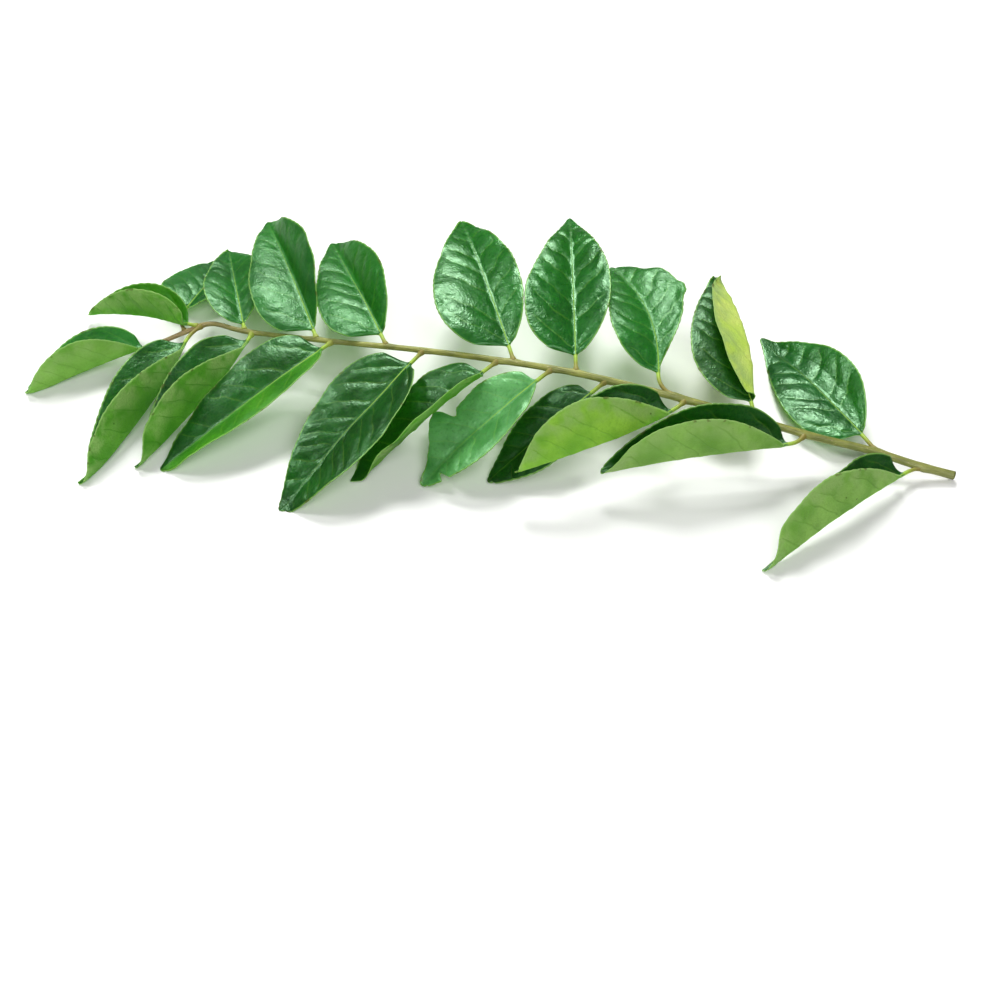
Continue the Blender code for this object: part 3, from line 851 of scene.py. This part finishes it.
# %% A paint box for materials
class Finish(NodeNet):
    """Words for painting with nodes."""

    def flat_map(self, name):
        """The two numbers of one of the mesh's flat maps, and both together."""
        both = self.add("UVMap", {}, uv_map=name)
        parts = self.add("SeparateXYZ", {0: both}).node
        return parts.outputs[0], parts.outputs[1], both

    def math(self, operation, a, b=0.0):
        return self.add("Math", {0: a, 1: b}, operation=operation)

    def fade(self, value, low, high):
        """0 where value is low and 1 where it is high, or the other way round."""
        return self.add("MapRange", {"Value": value, "From Min": low, "From Max": high},
                        interpolation_type="SMOOTHSTEP")

    def mix(self, share, a, b):
        """Colour a where share is 0 and b where it is 1."""
        return self.add("Mix", {0: share, 6: a, 7: b}, output=2, data_type="RGBA")

    def wash(self, colour, over, mask, strength):
        """Lay a colour over another where the mask is 1, as strongly as told."""
        return self.mix(self.math("MULTIPLY", mask, strength), colour, over)

    def spread(self, value, low, high, to_low, to_high):
        """Stretch the range from low to high evenly to another one."""
        return self.add("MapRange", {"Value": value, "From Min": low, "From Max": high,
                                     "To Min": to_low, "To Max": to_high})

    def clouds(self, where, scale, detail=2.0):
        """Soft noise between 0 and 1, with that many clouds to a millimetre."""
        return self.add("TexNoise", {"Vector": where, "Scale": scale, "Detail": detail})

    def cells(self, where, scale):
        """Distance to the nearest wall of a net of little cells."""
        return self.add("TexVoronoi", {"Vector": where, "Scale": scale},
                        feature="DISTANCE_TO_EDGE")

    def bump(self, height, distance, strength=1.0, under=None):
        """A fine relief. Its distance is in metres, as Blender measures."""
        inputs = {"Height": height, "Distance": distance, "Strength": strength}
        if under is not None:
            inputs["Normal"] = under
        return self.add("Bump", inputs)

    def leaf(self, skin, through, share_through):
        """Finish with a skin that lets some light through."""
        behind = self.add("BsdfTranslucent", {"Color": through})
        return self.done(self.add("MixShader", {0: share_through, 1: skin, 2: behind}))


def rgb(red, green, blue):
    return (red, green, blue, 1.0)


# %% [markdown]
# ## Veins and dried edges
#
# Two things are the same on both sides of a leaflet. Side veins show as thin lines wherever
# the vein number is close to a whole one. And here and there the very edge has begun to dry
# and turn brown. Both are masks made of the flat maps, so they follow the shape exactly.

# %% Vein lines and dried edges
VEIN_CORE = 0.25              # the line is full colour over this share of its width
DRIED = rgb(0.11, 0.085, 0.025)
DRIED_SCALE, DRIED_PATCHES = 0.35, (0.60, 0.66)
DRIED_RIM = (0.75, 0.25)      # distances from the edge where the brown fades and is full
DRIED_STRENGTH = 0.75


def vein_lines(finish, width):
    """1 on a side vein and 0 away from it, fading where the veins end."""
    number, strength, _ = finish.flat_map("veins")
    nearest = finish.math("PINGPONG", number, 0.5)
    line = finish.fade(nearest, width, width * VEIN_CORE)
    return finish.math("MULTIPLY", line, strength)


def dried_edge(finish, flat, to_edge, colour):
    """Brown the edge here and there."""
    patches = finish.fade(finish.clouds(flat, DRIED_SCALE), *DRIED_PATCHES)
    rim = finish.fade(to_edge, *DRIED_RIM)
    return finish.wash(colour, DRIED, finish.math("MULTIPLY", patches, rim), DRIED_STRENGTH)


# %% [markdown]
# ## The upper skin
#
# The upper side of a curry leaflet is deep green and smooth. Three things give it life. The
# green drifts from bluish to yellowish over the blade. The midrib is a thin line of pale
# yellow-green and the edge has a still thinner pale rim, because both hold less pigment. And
# the skin mirrors bright windows softly. A clear coat would turn those reflections white, so
# the skin's own reflection is made strong and tinted green, as it looks on a real leaf.
#
# Light also comes through a leaf from behind, far yellower than what it reflects, so a
# Translucent shader is mixed in. All upper skins share one recipe with other numbers. Two of
# them are painted shade: darker greens for leaflets that lie under others or turn away from
# the lights. One is a painted sheen and one is painted light: paler greens that stand in for
# light the leaflets catch. The other two differ mainly in gloss.

# %% Colours and sizes of the upper skin
PALE_RIB = rgb(0.32, 0.49, 0.060)
PALE_EDGE = rgb(0.25, 0.42, 0.11)
GREEN_REFLECTION = rgb(0.60, 1.0, 0.63)
DRIFT_SCALE, DRIFT_RANGE = 0.11, (0.3, 0.7)
SPECKLE_SCALE, SPECKLE_RANGE, SPECKLE_STRENGTH = 1.3, (0.48, 0.75), 0.5
PIT_SHADE_DARKNESS = 0.55       # brightness of a speckle, a painted shade of a tiny pit, as a share of the deep green
VEIN_WIDTH, VEIN_STRENGTH = 0.055, 0.3
VEIN_PALENESS = 0.5           # how far a vein's colour is on its way to the midrib's
NET_SCALE, NET_WIDTH, NET_STRENGTH = 1.15, 0.10, 0.14
RIB_LINE = (0.46, 0.22)       # in midrib radii: where the pale line fades and is full
RIB_BASE, RIB_TIP = (4.0, 0.9), (46.0, 0.15)    # distance along it, and strength there
EDGE_LINE, EDGE_STRENGTH = (0.42, 0.12), 0.85
SHEEN_SCALE, SHEEN_RANGE = 0.5, (0.3, 0.7)
SMOOTHER, ROUGHER = 0.06, 0.08                  # how much the roughness varies
RIB_ROUGHER = 0.35
PEBBLE_SCALE, PEBBLE_HEIGHT = 0.9, 0.000085
NET_HEIGHT, NET_DEPTH = 0.00008, 0.8


def vein_colour(green):
    """The colour of a vein in a skin of this green."""
    return tuple((1.0 - VEIN_PALENESS) * part + VEIN_PALENESS * rib
                 for part, rib in zip(green, PALE_RIB))


# %% Upper skin recipe
def upper_skin(name, deep, light, through, roughness, share_through=0.3):
    finish = Finish(name)
    _, along, flat = finish.flat_map("flat")
    to_rib, to_edge, _ = finish.flat_map("edges")
    drift = finish.fade(finish.clouds(flat, DRIFT_SCALE), *DRIFT_RANGE)
    green = finish.mix(drift, deep, light)
    # painted shade: dark speckles where tiny pits in the skin would lose the sheen
    speckle = finish.clouds(flat, SPECKLE_SCALE, detail=3.0)
    speckle = finish.fade(speckle, *SPECKLE_RANGE)
    dark = rgb(*(PIT_SHADE_DARKNESS * part for part in deep[:3]))
    green = finish.wash(green, dark, speckle, SPECKLE_STRENGTH)
    veins = vein_lines(finish, VEIN_WIDTH)
    green = finish.wash(green, vein_colour(light), veins, VEIN_STRENGTH)
    net = finish.cells(flat, NET_SCALE)
    green = finish.wash(green, vein_colour(light), finish.fade(net, NET_WIDTH, 0.0),
                        NET_STRENGTH)
    rib = finish.fade(to_rib, *RIB_LINE)
    (base, base_strength), (tip, tip_strength) = RIB_BASE, RIB_TIP
    green = finish.wash(green, PALE_RIB, rib,
                        finish.spread(along, base, tip, base_strength, tip_strength))
    green = finish.wash(green, PALE_EDGE, finish.fade(to_edge, *EDGE_LINE), EDGE_STRENGTH)
    green = dried_edge(finish, flat, to_edge, green)
    rough = finish.spread(finish.clouds(flat, SHEEN_SCALE), *SHEEN_RANGE,
                          roughness - SMOOTHER, roughness + ROUGHER)
    rough = finish.math("ADD", rough, finish.math("MULTIPLY", rib, RIB_ROUGHER))
    grain = finish.bump(finish.clouds(flat, PEBBLE_SCALE), PEBBLE_HEIGHT)
    grain = finish.bump(net, NET_HEIGHT, NET_DEPTH, under=grain)
    skin = finish.add("BsdfPrincipled", {"Base Color": green, "Roughness": rough,
                                         "Specular IOR Level": 1.0,
                                         "Specular Tint": GREEN_REFLECTION,
                                         "Normal": grain})
    return finish.leaf(skin, through, share_through)


# %% Six upper skins
UPPER_SKINS = {
    "satin": upper_skin("curry_leaf_upper_satin", rgb(0.003, 0.056, 0.014),
                        rgb(0.014, 0.124, 0.025), rgb(0.22, 0.75, 0.03), 0.37),
    "wet": upper_skin("curry_leaf_upper_wet", rgb(0.002, 0.042, 0.012),
                      rgb(0.010, 0.100, 0.023), rgb(0.20, 0.70, 0.04), 0.31),
    # painted shade: a darker copy for near leaflets that lie in the shadow of others
    "deep": upper_skin("curry_leaf_upper_deep_painted_shade", rgb(0.001, 0.022, 0.005),
                       rgb(0.006, 0.070, 0.011), rgb(0.18, 0.66, 0.03), 0.36, 0.25),
    # painted shade: the darkest copy, for leaflets turned away from the lights or lying under
    # others
    "shade": upper_skin("curry_leaf_upper_shade", rgb(0.001, 0.020, 0.005),
                        rgb(0.003, 0.046, 0.009), rgb(0.16, 0.62, 0.03), 0.38, 0.2),
    # painted sheen: a pale green base that stands in for the side light's reflection on a
    # leaflet
    "painted_sheen": upper_skin("curry_leaf_upper_painted_sheen", rgb(0.075, 0.245, 0.080),
                       rgb(0.180, 0.430, 0.180), rgb(0.22, 0.75, 0.05), 0.36),
    # painted light: a brighter green for a half or leaflet that catches more light
    "painted_light": upper_skin("curry_leaf_upper_painted_light", rgb(0.024, 0.135, 0.006),
                        rgb(0.065, 0.240, 0.012), rgb(0.35, 0.85, 0.05), 0.46, 0.26),
}
print("upper skins:", ", ".join(UPPER_SKINS))

# %% [markdown]
# ## The lower skin
#
# Below, the leaflet is matt and much paler, a yellowish green with a faint net of veins and a
# few dark specks where oil glands show through. A touch of sheen gives it a slightly downy
# feel. The same washes as on the upper side make it, but here the veins are darker than the
# skin between them, and their relief stands out instead of sinking in.

# %% Colours and sizes of the lower skin
PALE_RIB_BELOW = rgb(0.42, 0.60, 0.19)
PALE_EDGE_BELOW = rgb(0.46, 0.66, 0.24)
GLAND = rgb(0.035, 0.07, 0.012)
LOWER_DRIFT_SCALE, LOWER_DRIFT_RANGE = 0.13, (0.32, 0.68)
MOTTLE_SCALE, MOTTLE_RANGE, MOTTLE_STRENGTH = 1.1, (0.45, 0.75), 0.5
LIGHTER_SCALE, LIGHTER_RANGE, LIGHTER_STRENGTH = 0.2, (0.35, 0.6), 0.75
LIGHTER_RIM = (8.0, 1.5)      # distances from the edge where the painted light along it fades and is full
LOWER_VEIN_WIDTH, LOWER_VEIN_STRENGTH = 0.05, 0.6
LOWER_NET_SCALE, LOWER_NET_WIDTH, LOWER_NET_STRENGTH = 0.95, 0.09, 0.16
GLAND_SCALE, GLAND_SIZE, GLAND_STRENGTH = 0.21, (0.07, 0.03), 0.8
LOWER_RIB_LINE, LOWER_RIB_STRENGTH = (1.3, 0.7), 0.8
LOWER_EDGE_LINE, LOWER_EDGE_STRENGTH = (0.45, 0.15), 0.75
DOWN_SCALE, DOWN_HEIGHT = 1.8, 0.0004
LOWER_RELIEF, LOWER_RELIEF_DEPTH = 0.00012, 0.8


# %% Lower skin recipe
def lower_skin(name, deep, light, through, share_through=0.38):
    finish = Finish(name)
    _, _, flat = finish.flat_map("flat")
    to_rib, to_edge, _ = finish.flat_map("edges")
    drift = finish.clouds(flat, LOWER_DRIFT_SCALE, detail=3.0)
    drift = finish.fade(drift, *LOWER_DRIFT_RANGE)
    green = finish.mix(drift, deep, light)
    mottle = finish.clouds(flat, MOTTLE_SCALE, detail=4.0)
    mottle = finish.fade(mottle, *MOTTLE_RANGE)
    green = finish.wash(green, deep, mottle, MOTTLE_STRENGTH)
    # painted light: a paler band along the edge, where a curling edge catches light and lets it
    # through
    lighter = finish.math("MULTIPLY", finish.fade(to_edge, *LIGHTER_RIM),
                          finish.fade(finish.clouds(flat, LIGHTER_SCALE), *LIGHTER_RANGE))
    green = finish.wash(green, PALE_EDGE_BELOW, lighter, LIGHTER_STRENGTH)
    veins = vein_lines(finish, LOWER_VEIN_WIDTH)
    green = finish.wash(green, deep, veins, LOWER_VEIN_STRENGTH)
    net = finish.cells(flat, LOWER_NET_SCALE)
    green = finish.wash(green, deep, finish.fade(net, LOWER_NET_WIDTH, 0.0),
                        LOWER_NET_STRENGTH)
    glands = finish.add("TexVoronoi", {"Vector": flat, "Scale": GLAND_SCALE}, feature="F1")
    green = finish.wash(green, GLAND, finish.fade(glands, *GLAND_SIZE), GLAND_STRENGTH)
    green = finish.wash(green, PALE_RIB_BELOW, finish.fade(to_rib, *LOWER_RIB_LINE),
                        LOWER_RIB_STRENGTH)
    green = finish.wash(green, PALE_EDGE_BELOW, finish.fade(to_edge, *LOWER_EDGE_LINE),
                        LOWER_EDGE_STRENGTH)
    green = dried_edge(finish, flat, to_edge, green)
    grain = finish.bump(finish.clouds(flat, DOWN_SCALE, detail=3.0), DOWN_HEIGHT,
                        LOWER_RELIEF_DEPTH)
    for height in (net, veins):
        grain = finish.bump(height, LOWER_RELIEF, LOWER_RELIEF_DEPTH, under=grain)
    skin = finish.add("BsdfPrincipled", {"Base Color": green, "Roughness": 0.58,
                                         "Sheen Weight": 0.12, "Specular IOR Level": 0.35,
                                         "Normal": grain})
    return finish.leaf(skin, through, share_through)


# %% Five lower skins
# the first is the plain skin below; the others are copies painted lighter, yellower or greener,
# as painted light and shade
LOWER_SKINS = {
    "pale": lower_skin("curry_leaf_lower_pale", rgb(0.24, 0.48, 0.085),
                       rgb(0.42, 0.70, 0.17), rgb(0.45, 0.90, 0.12)),
    "lime": lower_skin("curry_leaf_lower_lime", rgb(0.25, 0.56, 0.055),
                       rgb(0.46, 0.80, 0.10), rgb(0.50, 0.95, 0.08)),
    "green": lower_skin("curry_leaf_lower_green", rgb(0.11, 0.37, 0.030),
                        rgb(0.22, 0.55, 0.070), rgb(0.35, 0.90, 0.08)),
    "bright": lower_skin("curry_leaf_lower_bright", rgb(0.13, 0.38, 0.022),
                         rgb(0.21, 0.52, 0.040), rgb(0.45, 0.98, 0.05), 0.45),
    "yellow": lower_skin("curry_leaf_lower_yellow", rgb(0.66, 0.90, 0.15),
                         rgb(0.84, 0.98, 0.26), rgb(0.70, 0.95, 0.15)),
}
print("lower skins:", ", ".join(LOWER_SKINS))

# %% [markdown]
# ## The stalk's skin
#
# A leaflet's short stalk changes colour on its way: tan like the stem at its swollen foot,
# olive in the middle and the midrib's yellow-green well before the blade starts. The "flat"
# map counts millimetres along the leaflet, below zero on the stalk, so it drives the change.
# A little noise is added to it, or the colours would meet in straight rings.

# %% Stalk skin
STALK_FOOT = rgb(0.235, 0.205, 0.048)
STALK_MIDDLE = rgb(0.27, 0.29, 0.055)
STALK_STREAK = rgb(0.16, 0.13, 0.03)
FOOT_TO_MIDDLE = (-3.4, -1.8)    # millimetres from the blade
MIDDLE_TO_RIB = (-2.2, 0.6)
COLOUR_WANDER = 1.6              # how far those places wander, in millimetres
STREAK_HEIGHT = 0.00012


def stalk_skin():
    finish = Finish("curry_leaf_stalk")
    _, along, flat = finish.flat_map("flat")
    wander = finish.clouds(flat, scale=0.9, detail=3.0)
    place = finish.math("ADD", along, finish.math("MULTIPLY", wander, COLOUR_WANDER))
    colour = finish.mix(finish.fade(place, *FOOT_TO_MIDDLE), STALK_FOOT, STALK_MIDDLE)
    colour = finish.mix(finish.fade(place, *MIDDLE_TO_RIB), colour, PALE_RIB)
    streaks = finish.clouds(flat, scale=3.0, detail=3.0)
    colour = finish.wash(colour, STALK_STREAK, finish.fade(streaks, 0.5, 0.75),
                         strength=0.3)
    skin = finish.add("BsdfPrincipled", {"Base Color": colour, "Roughness": 0.5,
                                         "Normal": finish.bump(streaks, STREAK_HEIGHT, 0.6)})
    return finish.done(skin)


stalk_finish = stalk_skin()
print("stalk skin:", len(stalk_finish.node_tree.nodes), "nodes")

# %% [markdown]
# ## Build the leaflets
#
# Now the recipes and the rows come together. Each leaflet replaces its plain solid, rides on
# the sprig's one body, and is compared with the box of that solid, so that nothing has crept
# away from where it should be. Most leaflets wear the same pale skin below. The others wear
# a copy painted lighter, yellower or greener to match the light that reaches them or shines
# through them: painted light and painted shade.

# %% Make one leaflet
# leaflets whose lower side gets a copy painted for the light that reaches or shines through it
LOWER_SKIN_OF = {
    "leaflet_left_03": "lime", "leaflet_left_06": "bright", "leaflet_left_08": "bright",
    "leaflet_left_09": "green", "leaflet_left_10": "green", "leaflet_left_11": "green",
    "leaflet_right_02": "yellow",
}


def build_leaflet(leaf, seed):
    rings, maps = leaflet_rings(leaf, seed)
    mesh = skin_mesh(leaf.name + "_skin", rings, maps, leaflet_slots(len(rings)))
    lower = LOWER_SKINS[LOWER_SKIN_OF.get(leaf.name, "pale")]
    upper_left = UPPER_SKINS[leaf.left_skin or leaf.skin]
    for finish in (UPPER_SKINS[leaf.skin], upper_left, lower, stalk_finish):
        mesh.materials.append(finish)
    piece = bpy.data.objects.new(leaf.name + "_skin", mesh)
    bpy.context.scene.collection.objects.link(piece)
    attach(piece, "root")
    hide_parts(leaf.name)
    return piece


# %% Make and seat them all
FIRST_SEED, SEED_STEP = 5, 11

for index, leaf in enumerate(LEAFLETS):
    piece = build_leaflet(leaf, FIRST_SEED + SEED_STEP * index)
    corners = np.array([vertex.co for vertex in piece.data.vertices])
    low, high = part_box(leaf.name)
    drift = max(np.abs(corners.min(0) - low).max(), np.abs(corners.max(0) - high).max())
    print(f"{leaf.name}: {len(piece.data.polygons)} faces, box within {drift / MM:.1f} mm")

# %% [markdown]
# ## The stem
#
# The stem is woody at the cut end and soft at the tip. It isn't a plain tube: it swells a
# little at every joint, most of all on the side where the stalk sits, and fine ridges run
# along it. A curve with a bevel would give an even tube, so it is made from rings too, and
# each swelling can be put exactly where a leaflet joins. The ridges are a few waves round the
# stem that turn slowly along it, which close on themselves without a seam.

# %% Numbers of the stem's shape
STEM_ROW_STEP = 0.5
STEM_AROUND = 40
BARK_SHARE = 0.90             # between two joints the bark is slimmer than the plain stem
JOINT_REACH = 1.7             # length of a swelling to either side of its joint
JOINT_SWELL = 0.28            # height on the stalk's side, in stem radii
JOINT_RING = 0.04             # and all round
JOINT_SIGHT = 0.02            # share of a leaflet where its stalk's direction is read
FAR_GAP = 3                   # a swelling is nothing this many reaches away
RIDGES = ((5, 0.022), (9, 0.016), (14, 0.010))    # how many go round, and their height
RIDGE_TURN, RIDGE_CELL, RIDGE_LANE = 2.5, 14.0, 10.0
print("the stem has", math.ceil(stem.length / STEM_ROW_STEP), "rings of", STEM_AROUND,
      "points each")


# %% Shape of the stem
def stem_frame(distance):
    """Middle point, direction, side and up of the stem at a distance."""
    ahead = stem.direction(distance)
    side = np.cross([0.0, 0.0, 1.0], ahead)
    side /= np.linalg.norm(side)
    return stem.at(distance), ahead, side, np.cross(ahead, side)


def stem_radius(distance, angle):
    """Radius of the bark round the stem at one distance."""
    radius = np.full_like(angle, BARK_SHARE * stem.radius(distance))
    for count, height in RIDGES:
        lane, place = np.array(count * RIDGE_LANE), np.array(distance)
        turn = RIDGE_TURN * hills(lane, place, RIDGE_CELL, count)
        radius += height * np.cos(count * angle + turn)
    _, _, side, up = stem_frame(distance)
    for leaf in LEAFLETS:
        gap = (distance - min(leaf.joint, stem.length)) / JOINT_REACH
        if abs(gap) > FAR_GAP or leaf is END_LEAFLET:
            continue
        _, ahead, _, _ = midrib_line(leaf, np.array([JOINT_SIGHT]))
        stalk_angle = math.atan2(float(ahead[0] @ up), float(ahead[0] @ side))
        near = np.clip(np.cos(angle - stalk_angle), 0.0, 1.0) ** 2
        swell = JOINT_RING + JOINT_SWELL * near
        radius += stem.radius(distance) * math.exp(-gap * gap) * swell
    return radius


# %% [markdown]
# The cut end is closed with a few smaller rings, pushed in and out a little as torn wood is.
# Towards the tip the rings shrink along a circle, which rounds it off.

# %% Rings of the stem, with a torn cut end and a rounded tip
CUT_RINGS = ((0.35, 0.30), (0.62, 0.10), (0.86, 0.02), (0.97, 0.06))    # size and depth
CUT_ROUGHNESS, CUT_CELL, CUT_LANE, CUT_SEED = 0.12, 0.8, 3.0, 4
CUT_FLARE = 0.10              # the cut end is a little wider, as a leaf's foot is
FLARE_REACH = 2.2
TIP_LENGTH, TIP_LEAST = 1.0, 0.05
CUT_MAP_PLACE = -1.0          # what the cut face's points say of their place on the stem
BARK_MAP_WIDTH = 1.2          # millimetres of bark to a radian


def round_the_stem(angle, side, up):
    return np.cos(angle)[:, None] * side + np.sin(angle)[:, None] * up


def stem_rings():
    """Every ring of the stem with its bark map: the way round it and the way along it."""
    angle = np.linspace(0.0, 2 * math.pi, STEM_AROUND, endpoint=False)
    rings, bark = [], []
    centre, ahead, side, up = stem_frame(0.0)
    for share, depth in CUT_RINGS:
        radius = stem_radius(0.0, angle)[:, None] * share * (1.0 + CUT_FLARE)
        torn = hills(share * CUT_LANE + 0 * angle, angle, CUT_CELL, CUT_SEED)[:, None]
        rough = depth + CUT_ROUGHNESS * torn
        rings.append(centre + ahead * rough + radius * round_the_stem(angle, side, up))
        bark.append(np.stack([angle * share, CUT_MAP_PLACE + 0 * angle], axis=-1))
    for distance in np.arange(0.0, stem.length, STEM_ROW_STEP):
        centre, _, side, up = stem_frame(distance)
        radius = stem_radius(distance, angle)
        radius *= 1.0 + CUT_FLARE * math.exp(-distance / FLARE_REACH)
        past = max(0.0, TIP_LENGTH - (stem.length - distance))
        radius *= math.sqrt(min(1.0, 1.0 - past ** 2 + TIP_LEAST))
        rings.append(centre + radius[:, None] * round_the_stem(angle, side, up))
        bark.append(np.stack([angle * BARK_MAP_WIDTH, distance + 0 * angle], axis=-1))
    return np.array(rings), {"bark": np.array(bark)}


# %% [markdown]
# ## Bark and cut wood
#
# The bark is olive-tan and gets browner towards the tip, with streaks along the grain and
# tiny pale pores. Noise has no grain of its own, so the map's long axis is squeezed before
# it, which stretches the clouds into streaks. The torn cut face is paler and fibrous.

# %% Bark recipe
BARK_DARK, BARK_LIGHT = rgb(0.170, 0.190, 0.036), rgb(0.310, 0.325, 0.075)
BARK_AT_TIP = rgb(0.34, 0.215, 0.115)
BROWNER = (178.0, 214.0)      # distances from the cut end where that begins and is full
BARK_AT_CUT = rgb(0.23, 0.25, 0.08)
GREENER = (60.0, 10.0)
BARK_STREAK = rgb(0.10, 0.095, 0.02)
BARK_PORE = rgb(0.52, 0.44, 0.22)
GRAIN_SQUEEZE = (1.0, 0.12, 1.0)
PORE_SQUEEZE = (1.0, 0.6, 1.0)
GROOVE_HEIGHT, GRIT_HEIGHT = 0.00025, 0.0001


def bark_skin():
    finish = Finish("curry_leaf_bark")
    _, along, bark = finish.flat_map("bark")
    grain_map = finish.add("Mapping", {"Vector": bark, "Scale": GRAIN_SQUEEZE})
    streaks = finish.clouds(grain_map, scale=2.6, detail=4.0)
    patches = finish.clouds(bark, scale=0.16, detail=3.0)
    colour = finish.mix(finish.fade(patches, 0.35, 0.65), BARK_DARK, BARK_LIGHT)
    colour = finish.wash(colour, BARK_AT_TIP, finish.fade(along, *BROWNER), strength=0.7)
    colour = finish.wash(colour, BARK_AT_CUT, finish.fade(along, *GREENER), strength=0.4)
    colour = finish.wash(colour, BARK_STREAK, finish.fade(streaks, 0.45, 0.75),
                         strength=0.55)
    pore_map = finish.add("Mapping", {"Vector": bark, "Scale": PORE_SQUEEZE})
    pores = finish.add("TexVoronoi", {"Vector": pore_map, "Scale": 0.8})
    colour = finish.wash(colour, BARK_PORE, finish.fade(pores, 0.16, 0.08), strength=0.5)
    relief = finish.bump(streaks, GROOVE_HEIGHT, 0.7)
    grit = finish.clouds(bark, scale=4.0)
    relief = finish.bump(grit, GRIT_HEIGHT, 0.5, under=relief)
    skin = finish.add("BsdfPrincipled", {"Base Color": colour, "Roughness": 0.42,
                                         "Specular IOR Level": 0.7, "Normal": relief})
    return finish.done(skin)


# %% Cut wood recipe
CUT_LIGHT, CUT_DARK = rgb(0.42, 0.38, 0.17), rgb(0.22, 0.16, 0.06)
FIBRE_HEIGHT = 0.0003


def cut_wood():
    finish = Finish("curry_leaf_cut_wood")
    _, _, bark = finish.flat_map("bark")
    fibres = finish.clouds(bark, scale=3.0, detail=4.0)
    colour = finish.mix(finish.fade(fibres, 0.35, 0.7), CUT_LIGHT, CUT_DARK)
    skin = finish.add("BsdfPrincipled", {"Base Color": colour, "Roughness": 0.7,
                                         "Normal": finish.bump(fibres, FIBRE_HEIGHT, 0.8)})
    return finish.done(skin)


# %% [markdown]
# The same mesh builder serves the stem. Its rings turn the other way round than a leaflet's,
# so its faces would look inwards, and flipping them makes the bark the outside.

# %% Make and seat the stem
rings, maps = stem_rings()
slots = np.zeros((len(rings) - 1, STEM_AROUND), int)
slots[:len(CUT_RINGS)] = 1
stem_mesh = skin_mesh("stem_bark", rings, maps, slots)
stem_mesh.flip_normals()
stem_mesh.materials.append(bark_skin())
stem_mesh.materials.append(cut_wood())
stem_piece = bpy.data.objects.new("stem_bark", stem_mesh)
bpy.context.scene.collection.objects.link(stem_piece)
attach(stem_piece, "root")
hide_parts("stem")
print("stem:", len(stem_mesh.polygons), "faces")

# %% [markdown]
# ## Table, light and camera
#
# The sprig lies on a plain pale table top. Two small soft lights stand behind it and to its
# left, like bright windows. Their mirror images break up on the cushions between the veins,
# where one huge light would only turn the green grey. A broader one in front keeps the pale
# undersides readable, and the white surroundings fill the shadows a little. The view's look
# adds contrast, which deepens the darkest greens.

# %% Table top
TABLE_REACH = 4.0             # metres from the middle to each side
TABLE_HEIGHT = -0.0001        # a hair below the sprig, so that they never share a plane

floor_mesh = bpy.data.meshes.new("table_top")
floor_mesh.from_pydata([(x * TABLE_REACH, y * TABLE_REACH, TABLE_HEIGHT)
                        for x, y in ((-1, -1), (1, -1), (1, 1), (-1, 1))],
                       [], [(0, 1, 2, 3)])
floor_finish = Finish("table_white")
floor_mesh.materials.append(floor_finish.done(floor_finish.add(
    "BsdfPrincipled", {"Base Color": rgb(0.86, 0.86, 0.85), "Roughness": 0.6})))
floor = bpy.data.objects.new("table_top", floor_mesh)
bpy.context.scene.collection.objects.link(floor)
floor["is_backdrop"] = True
print("table top:", 2 * TABLE_REACH, "m across")


# %% Lights
LIGHT_DISTANCE = 1.0          # metres


def soft_light(name, azimuth, elevation, size, power):
    """A square light that faces the sprig. Azimuth 0 is behind it, 90 to its right."""
    data = bpy.data.lights.new(name, "AREA")
    data.shape, data.size, data.energy = "SQUARE", size, power
    turn, climb = math.radians(azimuth), math.radians(elevation)
    light = bpy.data.objects.new(name, data)
    light.location = (LIGHT_DISTANCE * math.sin(turn) * math.cos(climb),
                      LIGHT_DISTANCE * math.cos(turn) * math.cos(climb),
                      LIGHT_DISTANCE * math.sin(climb))
    light.rotation_euler = (math.radians(90) - climb, 0.0, math.pi - turn)
    bpy.context.scene.collection.objects.link(light)
    print(f"{name}: {power} W from {size} m, {elevation} degrees up")


soft_light("window", azimuth=-18, elevation=50, size=0.30, power=7.0)
soft_light("side_window", azimuth=-84, elevation=46, size=0.26, power=3.2)
soft_light("room", azimuth=150, elevation=50, size=0.7, power=6.0)

# %% Surroundings and look
SURROUNDINGS_STRENGTH = 0.11

world = bpy.data.worlds.new("surroundings")
world.use_nodes = True
background = world.node_tree.nodes["Background"]
background.inputs["Color"].default_value = rgb(1.0, 1.0, 1.0)
background.inputs["Strength"].default_value = SURROUNDINGS_STRENGTH
bpy.context.scene.world = world
bpy.context.scene.view_settings.view_transform = "Standard"
bpy.context.scene.view_settings.look = "Medium High Contrast"

# %% Camera
CAMERA_PLACE = (0.0748, -0.2507, 0.2734)    # metres: in front, a little right, above
CAMERA_TILT = 40              # degrees up from straight down
CAMERA_TURN = 16              # degrees to the left of straight ahead
CAMERA_LENS = 52

camera_data = bpy.data.cameras.new("camera")
camera_data.lens = CAMERA_LENS
camera = bpy.data.objects.new("camera", camera_data)
camera.location = CAMERA_PLACE
camera.rotation_euler = (math.radians(CAMERA_TILT), 0.0, math.radians(CAMERA_TURN))
bpy.context.scene.collection.objects.link(camera)
bpy.context.scene.camera = camera
print("the camera is", round(math.dist(CAMERA_PLACE, (0, 0, 0)) / MM), "mm from the middle")

# %% [markdown]
# ## Measure the finished sprig
#
# The finished sprig should fill the same box as the plain model. Both boxes are written down
# side by side.

# %% Write both sizes
low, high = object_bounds()
for axis, was_low, was_high, now_low, now_high in zip("xyz", cad_low, cad_high, low, high):
    print(f"{axis}: {was_low / MM:.1f}..{was_high / MM:.1f} mm plain, "
          f"{now_low / MM:.1f}..{now_high / MM:.1f} mm finished")
